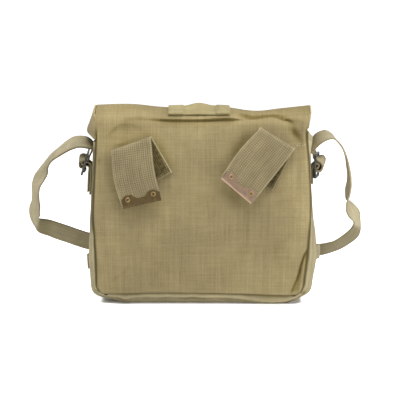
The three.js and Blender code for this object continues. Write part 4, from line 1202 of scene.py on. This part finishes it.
handle_surface = turned(top_strip(HANDLE_FROM, HANDLE_TO, WEB_WIDTH, handle_rise))
handle = lay_sheet(
    "carry_handle_web", handle_surface, even(16), even(56), (WEB_WIDTH, HANDLE_TO - HANDLE_FROM), WEB,
    strip_shade, offset=0, rim=0.6,
)
finish_piece(handle, handle_web)
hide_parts("carry_handle")
for side_name, (tab_start, tab_end) in HANDLE_TABS.items():
    tab_surface = turned(top_strip(tab_start, tab_end, TAB_WIDTH, tab_rise, TAB_SHIFT))
    tab = lay_sheet(
        f"handle_tab_{side_name}_web", tab_surface, even(14), even(14), (TAB_WIDTH, tab_end - tab_start),
        TAB_WEB, strip_shade, offset=0, rim=0.5,
    )
    inset = 2.8 / (tab_end - tab_start)
    web_seams.append((tab_surface, box(0.12, 0.88, inset, 1 - inset), TAB_WEB / 2))
    finish_piece(tab, handle_web)
    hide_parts(f"handle_tab_{side_name}")


# Broad hook straps, their plates and rivets


def swing_flap(hook, place, middle, down, beyond):
    """Swings a free flap aside: its middle line bends evenly, and its cross lines turn with it."""
    curve = math.radians(hook["swing"]) / hook["free"]
    turn = curve * np.maximum(beyond, 0)
    c, s = np.cos(turn), np.sin(turn)
    aside = np.array([-down[1], down[0]])
    bent = middle - down * (beyond - s / curve)[..., None] + aside * ((1 - c) / curve)[..., None]
    off = place - middle
    turned_off = np.stack([off[..., 0] * c - off[..., 1] * s, off[..., 0] * s + off[..., 1] * c], -1)
    return np.where((beyond > 0)[..., None], bent + turned_off, place)


def hook_place(hook, across, along):
    """Place on a broad strap: across its width and along from the sewn end, folded over its fold line."""
    lean, slope = math.radians(hook["lean"]), math.radians(hook["fold_slope"])
    up = np.array([-math.sin(lean), math.cos(lean)])
    wide = np.array([math.cos(lean), math.sin(lean)])
    fold_along = np.array([math.cos(slope), math.sin(slope)])
    fold_up = np.array([-math.sin(slope), math.cos(slope)])
    foot = np.array([hook["x"], hook["z"]])
    fold = foot + up * hook["fold_at"]
    flat = foot + up * along[..., None] + wide * across[..., None]
    past = (flat - fold) @ fold_up
    sideways = (flat - fold) @ fold_along

    def lie(p):
        return back_y(p[..., 0], p[..., 1]) - CLOTH_GAP - BROAD_WEB / 2

    fold_y = min(float(lie(fold + fold_along * t * BROAD_WIDTH)) for t in (-0.5, 0, 0.5))
    rest = lie(flat)
    base_y = np.minimum(rest, mix(rest, fold_y, smooth(past, -25, 0)))
    half = math.pi * FOLD_RADIUS
    turn = np.clip(past / FOLD_RADIUS, 0, math.pi)
    beyond = np.maximum(past - half, 0)
    up_fold = np.where(past < half, FOLD_RADIUS * np.sin(turn), -beyond)
    line = fold + fold_along * sideways[..., None] + fold_up * up_fold[..., None]
    side_step, down_step = up @ fold_along, up @ fold_up
    down = fold_along * side_step - fold_up * down_step
    ahead = (along - hook["fold_at"])[..., None]
    middle = fold + fold_along * side_step * ahead + fold_up * (half - down_step * ahead)
    line = swing_flap(hook, line, middle, down, ahead[..., 0] - half / down_step)
    flap_y = fold_y - FOLD_RADIUS * (1 - np.cos(turn)) - hook["lift"] * beyond / hook["free"]
    on_base = past <= 0
    x = np.where(on_base, flat[..., 0], line[..., 0])
    z = np.where(on_base, flat[..., 1], line[..., 1])
    y = np.where(on_base, base_y, flap_y)
    return np.stack([x, y, z], -1)


def hook_length(hook):
    return hook["fold_at"] + math.pi * FOLD_RADIUS + hook["free"]


def hook_end(hook):
    """Frame at the free end of a broad strap: its middle, across, up toward the fold, and outward."""
    length = np.array(hook_length(hook))
    zero = np.array(0.0)
    origin = hook_place(hook, zero, length)
    across = unit(hook_place(hook, zero + 5, length) - hook_place(hook, zero - 5, length))
    up = unit(hook_place(hook, zero, length - 5) - origin)
    out = np.cross(across, up)
    if out[1] > 0:
        out = -out
    return origin, across, up, out


def make_hook_strap(name, hook):
    length = hook_length(hook)
    fold_to = hook["fold_at"] + math.pi * FOLD_RADIUS
    bow_left, bow_right = hook["bow"]

    def place(u, v):
        along = v * length
        flap = np.clip((along - fold_to) / hook["free"], 0, 1)
        bulge = np.sin(math.pi * flap) ** 1.2
        across = (u - 0.5) * BROAD_WIDTH + mix(bow_left, bow_right, u) * bulge
        return hook_place(hook, across, along)

    def surface(u, v):
        ribs = np.cos(2 * math.pi * u * BROAD_WIDTH / RIB)
        flap = np.clip((v * length - fold_to) / hook["free"], 0, 1)
        swell = 2.2 * np.sin(math.pi * flap) * np.sin(math.pi * u)
        lift = RIB_DEPTH * ribs - swell
        return place(u, v) + normals_of(place, u, v) * lift[..., None]

    # Darker where the flap lies over the sewn end, as painted shadow of the flap on less faded webbing, with
    # specks; paler at the selvedges and the cut end
    def shade(u, v):
        along = v * length
        selvedge = bell(np.minimum(u, 1 - u), 0.03)
        under = smooth(along, hook["fold_at"] + 4, hook["fold_at"] - 12)
        cut_end = bell(along - 1.4, 1.3)
        specks = 0.07 * ripple(u * BROAD_WIDTH, along, *HOOK_SPECKS)
        edges = np.maximum(selvedge, cut_end)
        return 0.5 + 0.05 * selvedge - under * (0.45 + specks) * (1 - edges) + 0.1 * under * edges

    ribs_across = even(int(BROAD_WIDTH / RIB * 6))
    strap = lay_sheet(
        f"hook_strap_{name}_web", surface, ribs_across, even(110), (BROAD_WIDTH, length), BROAD_WEB - 0.5,
        shade, offset=0, rim=0.7,
    )
    finish_piece(strap, broad_web)
    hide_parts(f"hook_strap_{name}")
    sewn_box = [(0.06, 24 / length), (0.06, 4.5 / length), (0.94, 4.5 / length), (0.94, 24 / length)]
    web_seams.append((place, sewn_box, BROAD_WEB / 2 - 0.1))


def frame_matrix(origin, x_axis, y_axis, z_axis):
    """Matrix from a piece modelled at the origin in millimetres to its place in metres."""
    turn = Matrix((x_axis, y_axis, z_axis)).transposed().to_4x4()
    return Matrix.Translation(Vector(origin) * MM) @ turn @ Matrix.Scale(MM, 4)


def set_down(piece, matrix):
    """Puts a piece modelled at the origin in its place, with the place in its mesh."""
    activate(piece)
    piece.matrix_world = matrix
    bake_transform()


def pick(piece, kind, test):
    """Selects, in edit mode, the vertices or faces that pass a test, and nothing else."""
    bpy.context.view_layer.objects.active = piece
    switch("EDIT")
    bpy.ops.mesh.select_mode(type=kind)
    bpy.ops.mesh.select_all(action="DESELECT")
    switch("OBJECT")
    for part in piece.data.vertices if kind == "VERT" else piece.data.polygons:
        part.select = bool(test(part))
    switch("EDIT")


def draw_out(rise, wider=1.0):
    """Extrudes the picked faces by a rise along Z, then scales them across it."""
    bpy.ops.mesh.extrude_region_move(TRANSFORM_OT_translate={"value": (0, 0, rise)})
    if wider != 1:
        bpy.ops.transform.resize(value=(wider, wider, 1))


def lobed_edge(x):
    """Height of the front leaf of a hook plate: two round lobes with a low waist between them."""
    lobe = smooth(abs(x), 4, 14)
    shoulder = smooth(abs(x), 20, PLATE_WIDTH / 2)
    return mix(PLATE_WAIST, PLATE_LOBE, lobe) - 4.5 * shoulder


def prong_edge(x):
    """Height of the back leaf of a hook plate: two prongs that hook over a belt."""
    prong = smooth(abs(abs(x) - RIVET_SPREAD), 6.5, 4.5)
    return mix(HOOK_ROOT, HOOK_LENGTH, prong)


def make_hook_plate(name, hook, material, bend_wear_and_glint):
    """Brass plate bent round the end of a broad strap, modelled flat on the strap's end and then placed."""
    origin, across, up, _ = hook_end(hook)
    bend = BROAD_WEB / 2 + GAP + PLATE / 2
    plate = add_piece(
        f"hook_plate_{name}_brass", bpy.ops.mesh.primitive_grid_add,
        x_subdivisions=60, y_subdivisions=5, size=1,
    )
    for vertex in plate.data.vertices:
        x, share = vertex.co.x * PLATE_WIDTH, 0.5 - vertex.co.y
        vertex.co = (x, lobed_edge(x) * share, bend)
    pick(plate, "VERT", lambda vertex: vertex.co.y < 0.01)
    bpy.ops.mesh.spin(steps=8, angle=math.pi, center=(0, 0, 0), axis=(1, 0, 0))
    pick(plate, "VERT", lambda vertex: vertex.co.z < 0.01 - bend)
    for _ in range(PRONG_ROWS):
        bpy.ops.mesh.extrude_region_move(TRANSFORM_OT_translate={"value": (0, 1, 0)})
    switch("OBJECT")
    for vertex in plate.data.vertices:
        if vertex.co.z < 0.01 - bend and vertex.co.y > 0.01:
            vertex.co.y *= prong_edge(vertex.co.x) / PRONG_ROWS
    switch("EDIT")
    bpy.ops.mesh.select_all(action="SELECT")
    bpy.ops.mesh.remove_doubles(threshold=0.001)
    bpy.ops.mesh.normals_make_consistent(inside=False)
    switch("OBJECT")
    apply_modifier(plate, "SOLIDIFY", thickness=PLATE, offset=0, use_quality_normals=True)
    soften(plate, 0.28, angle=50)
    # Worn bare metal and a painted glint along the bottom bend
    low = np.array([vertex.co.y for vertex in plate.data.vertices])
    write_values(plate.data, "worn_and_glint", bend_wear_and_glint * smooth(-low, 0.0, 0.7))
    set_down(plate, frame_matrix(origin, across, up, np.cross(across, up)))
    finish_piece(plate, material)
    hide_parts(f"hook_plate_{name}")


def make_rivets(name, hook):
    """Tubular rivets: shank, turned head with an open bore, clenched end behind the plate."""
    origin, across, up, out = hook_end(hook)
    face = BROAD_WEB / 2 + GAP + PLATE
    normal = np.cross(across, up)
    head_up = 1 if normal @ out > 0 else -1
    for label, x in (("first", -RIVET_SPREAD), ("second", RIVET_SPREAD)):
        rivet = add_piece(
            f"rivet_{name}_{label}_brass", bpy.ops.mesh.primitive_cylinder_add,
            vertices=28, radius=RIVET_SHANK, depth=2 * face + 0.5,
        )
        pick(rivet, "FACE", lambda part: part.normal.z > 0.9)
        draw_out(0, RIVET_HEAD / RIVET_SHANK)
        draw_out(0.45)
        draw_out(0.4, RIVET_RIM)
        bpy.ops.mesh.inset(thickness=RIVET_HEAD * RIVET_RIM - RIVET_BORE - RIVET_LIP)
        bpy.ops.transform.translate(value=(0, 0, 0.12))
        bpy.ops.mesh.inset(thickness=RIVET_LIP)
        bpy.ops.transform.translate(value=(0, 0, -0.35))
        draw_out(-5.0)
        pick(rivet, "FACE", lambda part: part.normal.z < -0.9 and part.center.z < 0)
        draw_out(0, 1.5)
        draw_out(-0.55, 0.85)
        switch("OBJECT")
        soften(rivet, 0.12)
        # Painted shade in the bore, dark nearly to black
        corners = np.array([corner.co for corner in rivet.data.vertices])
        write_values(rivet.data, "bore_shade", np.hypot(corners[:, 0], corners[:, 1]) < RIVET_BORE + 0.1)
        middle = origin + across * x + up * RIVET_UP
        set_down(rivet, frame_matrix(middle, across, up * head_up, normal * head_up))
        finish_piece(rivet, rivet_brass, 35)
        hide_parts(f"rivet_{name}_{label}")


# Finish of each hook plate, and how strongly the worn bare metal and painted glint show along its bottom bend
PLATE_FINISH = {"left": (plate_brown, 0.12), "right": (plate_brass_lit, 0.8)}
for hook_name, hook_row in HOOKS.items():
    make_hook_strap(hook_name, hook_row)
    make_hook_plate(hook_name, hook_row, *PLATE_FINISH[hook_name])
    make_rivets(hook_name, hook_row)


# Buckles, their webbing loops, the shoulder strap and the small side loops


def buckle_place(buckle, off, up):
    """Place on a buckle: off its frame outward, and up along its frame."""
    lean = math.radians(buckle["lean"])
    out = buckle["out"] + off * math.cos(lean) - up * math.sin(lean)
    z = buckle["z"] + off * math.sin(lean) + up * math.cos(lean)
    return out, z


def make_buckle(name, buckle):
    """Slide buckle: a rounded frame with a middle bar, cut from plate and softened at its edges."""
    slot = (BUCKLE_HEIGHT - 3 * BUCKLE_BAR) / 2
    wide = np.array([-BUCKLE_WIDTH / 2, -SLOT_WIDTH / 2, SLOT_WIDTH / 2, BUCKLE_WIDTH / 2])
    high = np.cumsum([-BUCKLE_HEIGHT / 2, BUCKLE_BAR, slot, BUCKLE_BAR, slot, BUCKLE_BAR])
    frame_piece = add_piece(
        f"buckle_{name}_metal", bpy.ops.mesh.primitive_grid_add, x_subdivisions=3, y_subdivisions=5, size=1,
    )
    for vertex in frame_piece.data.vertices:
        i = round((vertex.co.x + 0.5) * 3)
        j = round((vertex.co.y + 0.5) * 5)
        vertex.co = (wide[i], high[j], -BUCKLE_THICK / 2)
    inner = BUCKLE_HEIGHT / 2 - BUCKLE_BAR
    pick(frame_piece, "FACE", lambda part: abs(part.center.x) < 1 and 2 < abs(part.center.y) < inner)
    bpy.ops.mesh.delete(type="FACE")
    switch("OBJECT")
    apply_modifier(frame_piece, "SOLIDIFY", thickness=BUCKLE_THICK, offset=1)
    for edge in frame_piece.data.edges:
        a, b = (frame_piece.data.vertices[i].co for i in edge.vertices)
        upright = abs(a.z - b.z) > 1
        edge.select = upright and abs(a.x) > BUCKLE_WIDTH / 2 - 0.1 and abs(a.y) > BUCKLE_HEIGHT / 2 - 0.1
    switch("EDIT")
    bpy.ops.mesh.select_mode(type="EDGE")
    bpy.ops.mesh.bevel(offset=BUCKLE_CORNER, segments=5, affect="EDGES")
    switch("OBJECT")
    soften(frame_piece, 0.75, 3)
    side, lean = buckle["side"], math.radians(buckle["lean"])
    turn = math.radians(buckle["turn"])
    across = np.array([-math.sin(turn), -side * math.cos(turn), 0.0])
    up = np.array([-side * math.sin(lean), 0.0, math.cos(lean)])
    up = unit(up - across * (across @ up))
    middle = np.array([side * buckle["out"], 0.0, buckle["z"]])
    set_down(frame_piece, frame_matrix(middle, across, up, np.cross(across, up)))
    finish_piece(frame_piece, black_metal, 35)
    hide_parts(f"buckle_{name}")


def make_chape(name, buckle):
    """Loop of webbing sewn to the side, round the middle bar of the buckle and back down."""
    around = BUCKLE_BAR / 2 + 1 + WEB / 2
    skew = math.tan(math.radians(buckle["turn"]))

    def lie(drop, layer):
        z = buckle["z"] - drop
        return float(gusset_out(buckle["side"], z)) + CLOTH_GAP + WEB / 2 + layer * (WEB + CLOTH_GAP), z

    turn = [buckle_place(buckle, off * around, up * around) for off, up in CHAPE_TURN]
    rows = [lie(drop, 0) for drop in (buckle["foot"], buckle["foot"] - CHAPE_SEWN, *CHAPE_UP)]
    rows.append((mix(rows[-1][0], turn[0][0], CHAPE_LIFT_SHARE), buckle["z"] - CHAPE_LIFT_DROP))
    rows = rows + turn + [lie(drop, 1) for drop in buckle["down"]]
    way = with_run(columns("x z", rows))
    length = way["run"][-1]

    def surface(u, v):
        row = read(way, "run", v * length)
        y = (u - 0.5) * WEB_WIDTH
        off = smooth(row["x"] - gusset_out(buckle["side"], row["z"]), 5.5, 10)
        return np.stack([buckle["side"] * (row["x"] + skew * y * off), y, row["z"]], -1)

    # The chape is darker all over than the strap, as painted shade beside the side strip
    chape = lay_sheet(
        f"chape_{name}_web", surface, even(14), even(90), (WEB_WIDTH, length), WEB - 0.2,
        lambda u, v: strip_shade(u, v) - 0.17, offset=0, rim=0.6,
    )
    finish_piece(chape, web)
    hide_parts(f"chape_{name}")
    web_seams.append((surface, box(0.12, 0.88, 2.5 / length, 8.5 / length), WEB / 2))
    web_seams.append((surface, [(0.12, 1 - 3 / length), (0.88, 1 - 3 / length)], WEB / 2))


def strap_way():
    """Whole way of the shoulder strap: threaded left end, free run, threaded right end."""
    ends = []
    for buckle in BUCKLES.values():
        off, up = THREADING.T
        bulge = np.where(off > 0, buckle["bulge"], 1.0)
        out, z = buckle_place(buckle, off * bulge, np.where(up > 0, up * buckle["rise"], up))
        still = np.ones_like(out)
        ends.append(np.stack([buckle["side"] * out, 0 * out, z, 0 * out, -still, 0 * out], -1))
    rows = np.concatenate([ends[0], STRAP_FREE, ends[1][::-1]])
    return with_run(columns("x y z wx wy wz", rows))


strap_table = strap_way()
STRAP_LENGTH = strap_table["run"][-1]

# Painted light and shade along the strap from its left end, lighter and darker as its faces turn
STRAP_TONE = columns("run tone", [
    (0, -0.05), (45, -0.1), (60, -0.16), (75, -0.03), (95, 0.04), (150, 0.06), (170, 0.18),
    (222, 0.2), (238, 0.14), (243, -0.24), (252, -0.24), (266, -0.13), (340, -0.12), (660, -0.12),
    (700, -0.2), (737, -0.18), (743, 0.22), (778, 0.22), (786, 0.16), (830, 0.2), (860, 0.08),
    (890, 0.02), (905, -0.12), (922, -0.26), (940, -0.1), (990, 0),
])


def strap_surface(u, v):
    run = v * STRAP_LENGTH
    row = read(strap_table, "run", run)
    ahead = read(strap_table, "run", np.minimum(run + 0.05, STRAP_LENGTH))
    behind = read(strap_table, "run", np.maximum(run - 0.05, 0))
    tangent = unit(np.stack([ahead[k] - behind[k] for k in "xyz"], -1))
    wide = unit(np.stack([row["wx"], row["wy"], row["wz"]], -1))
    middle = np.stack([row["x"], row["y"], row["z"]], -1)
    off = (u - 0.5) * WEB_WIDTH
    from_end = np.minimum(run, STRAP_LENGTH - run)
    cup = unit(np.cross(tangent, wide))
    curl = 0.5 * ripple(run, 0 * run, *STRAP_CURL) * (2 * u - 1) ** 2 * smooth(from_end, *STRAP_LOOSE)
    place = middle + wide * off[..., None] + cup * curl[..., None]
    place[..., 2] += LOOP_SLANT * place[..., 1] * band(from_end, *IN_LOOP)
    left_skew, right_skew = (b["side"] * math.tan(math.radians(b["turn"])) for b in BUCKLES.values())
    skew = np.where(run < STRAP_LENGTH / 2, left_skew, right_skew)
    place[..., 0] += skew * off * wide[..., 1] * band(from_end, *IN_BUCKLE)
    return place


def strap_shade(u, v):
    """Random fading along the strap, painted light and shade along it, and painted shade on its inner edge on
    either side of the bag.
    """
    run = v * STRAP_LENGTH
    to_inner = np.where(run < STRAP_LENGTH / 2, 1 - u, u)
    tone = strip_shade(u, v) + 0.04 * ripple(run, u * 20, *STRAP_FADING)
    tone = tone + np.interp(run, STRAP_TONE["run"], STRAP_TONE["tone"])
    return tone - 0.24 * bell(to_inner, 0.05)


shoulder_strap = lay_sheet(
    "shoulder_strap_web", strap_surface, even(14), even(int(STRAP_LENGTH / 2.2)), (WEB_WIDTH, STRAP_LENGTH),
    WEB - 0.2, strap_shade, offset=0, rim=0.6,
)
finish_piece(shoulder_strap, web)
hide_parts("shoulder_strap")


def make_side_tab(name, side, middle_z, reach):
    way = with_run({"y": SIDE_TAB_WAY["y"], "z": SIDE_TAB_WAY["share"] * reach})
    length = way["run"][-1]

    def surface(u, v):
        row = read(way, "run", v * length)
        z = middle_z + (u - 0.5) * SIDE_TAB_HEIGHT
        out = gusset_out(side, z) + CLOTH_GAP + CANVAS / 2 + row["z"]
        return np.stack([side * out, row["y"], z], -1)

    tab = lay_sheet(
        f"side_tab_{name}_web", surface, even(12), even(48), (SIDE_TAB_HEIGHT, length), CANVAS - 0.2,
        strip_shade, offset=0, rim=0.5,
    )
    finish_piece(tab, web)
    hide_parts(f"side_tab_{name}")
    for end in (3 / length, 1 - 3 / length):
        web_seams.append((surface, [(0.1, end), (0.9, end)], CANVAS / 2))


for buckle_name, buckle_row in BUCKLES.items():
    make_chape(buckle_name, buckle_row)
    make_buckle(buckle_name, buckle_row)
for tab_name, (tab_side, tab_z, tab_reach) in SIDE_TABS.items():
    make_side_tab(tab_name, tab_side, tab_z, tab_reach)


# Stitches: one short thread, modelled once and copied along the sewn lines


def stitch_line(surface, corners, lift):
    """Middles of the stitches along a line, with their directions along, aside and outward."""
    u, v = np.array(corners, float).T
    mark = np.arange(len(u))
    fine = np.linspace(0, mark[-1], 60 * mark[-1] + 1)
    u, v = np.interp(fine, mark, u), np.interp(fine, mark, v)
    path, face = surface(u, v), normals_of(surface, u, v)
    run = np.concatenate([[0.0], np.cumsum(np.linalg.norm(np.diff(path, axis=0), axis=1))])
    at = (np.arange(int(run[-1] / STITCH_PITCH)) + 0.5) * STITCH_PITCH

    def found(values, shift=0.0):
        return np.stack([np.interp(at + shift, run, column) for column in values.T], -1)

    middle, outward = found(path), unit(found(face))
    outward = outward * np.sign(np.sum(outward * (middle - BAG_MIDDLE), -1, keepdims=True))
    aside = unit(np.cross(outward, found(path, 0.5) - found(path, -0.5)))
    return middle + outward * (lift + 0.1), np.cross(aside, outward), aside, outward


def sew(name, seams, material):
    stitches = add_piece(name, bpy.ops.mesh.primitive_uv_sphere_add, segments=6, ring_count=5, radius=0.5)
    bpy.ops.transform.resize(value=STITCH)
    bake_transform()
    mesh = stitches.data
    one = np.array([vertex.co for vertex in mesh.vertices])
    faces = [tuple(face.vertices) for face in mesh.polygons]
    places = np.concatenate([np.stack(stitch_line(*seam), 1) for seam in seams])
    points = places[:, :1] + np.einsum("pk,skx->spx", one, places[:, 1:])
    copied = [tuple(k + s * len(one) for k in face) for s in range(len(places)) for face in faces]
    mesh.clear_geometry()
    mesh.from_pydata((points.reshape(-1, 3) * MM).tolist(), [], copied)
    finish_piece(stitches, material, 80)


sew("canvas_stitches", canvas_seams, thread)
sew("web_stitches", web_seams, thread)
sew("tack_stitches", tack_seams, pale_thread)


# Floor, light and camera, in metres: how near a piece shades the floor, how dark, the floor's own glow,
# and how bright the white surroundings are for the bag and for the camera
CONTACT_REACH = 0.008
CONTACT_DARK = 8.0
FLOOR_GLOW = 0.92
ROOM_LIGHT = 0.2
ROOM_SEEN = 1.05

# Lights, all aimed at one place: where they are, their size and power
LIGHT_AIM = (0, 0, 0.15)
LIGHTS = {
    "overhead": ((0.1, -0.45, 1.6), 1.4, 24.5),
    "side_left": ((-1.7, -1.0, 0.8), 1.2, 9),
    "side_right": ((1.7, -1.0, 0.9), 1.2, 17),
    "front_fill": ((0.3, 1.7, 0.8), 1.4, 5.5),
}

# View of the photograph
CAMERA_AIM = (-0.003, 0, 0.1475)
CAMERA_DISTANCE = 1.7
CAMERA_ELEVATION = 10
CAMERA_LENS = 105.4


def make_floor():
    floor = add_piece("floor", bpy.ops.mesh.primitive_grid_add, x_subdivisions=8, y_subdivisions=8, size=600)
    finish = Finish("pale_floor", Roughness=0.95, Specular_IOR_Level=0.0)
    finish.shader.inputs["Base Color"].default_value = (0.86, 0.86, 0.87, 1)
    near = finish.add("AmbientOcclusion", {"Distance": CONTACT_REACH}, samples=8)
    glow = finish.math("POWER", near.outputs["AO"], CONTACT_DARK)
    seen = finish.add("LightPath").outputs["Is Camera Ray"]
    finish.shader.inputs["Emission Color"].default_value = (1, 1, 1, 1)
    finish.link(finish.math("MULTIPLY", finish.math("MULTIPLY", glow, seen), FLOOR_GLOW), "Emission Strength")
    floor.data.materials.append(finish.material)


def make_world():
    scene = bpy.context.scene
    world = bpy.data.worlds.new("studio")
    scene.world = world
    world.use_nodes = True
    tree = world.node_tree
    ground = tree.nodes["Background"]
    ground.inputs["Color"].default_value = (1.0, 1.0, 1.0, 1)
    seen = tree.nodes.new("ShaderNodeLightPath")
    level = tree.nodes.new("ShaderNodeMapRange")
    level.inputs["To Min"].default_value = ROOM_LIGHT
    level.inputs["To Max"].default_value = ROOM_SEEN
    tree.links.new(seen.outputs["Is Camera Ray"], level.inputs["Value"])
    tree.links.new(level.outputs[0], ground.inputs["Strength"])
    scene.view_settings.view_transform = "Standard"


def aim(holder, place, toward):
    """Places a light or camera in the scene, looking along a direction."""
    bpy.context.scene.collection.objects.link(holder)
    holder.location = place
    holder.rotation_euler = toward.to_track_quat("-Z", "Y").to_euler()


def make_light(name, place, size, power):
    lamp = bpy.data.lights.new(name, "AREA")
    lamp.shape = "DISK"
    lamp.size = size
    lamp.energy = power
    aim(bpy.data.objects.new(name, lamp), place, Vector(LIGHT_AIM) - Vector(place))


def make_camera():
    data = bpy.data.cameras.new("camera")
    data.lens = CAMERA_LENS
    data.sensor_width = 36
    data.clip_end = 2000
    camera = bpy.data.objects.new("camera", data)
    elevation = math.radians(CAMERA_ELEVATION)
    back = Vector((0, -math.cos(elevation), math.sin(elevation)))
    aim(camera, Vector(CAMERA_AIM) + back * CAMERA_DISTANCE, -back)
    bpy.context.scene.camera = camera


make_floor()
make_world()
for light_name, light_row in LIGHTS.items():
    make_light(light_name, *light_row)
make_camera()
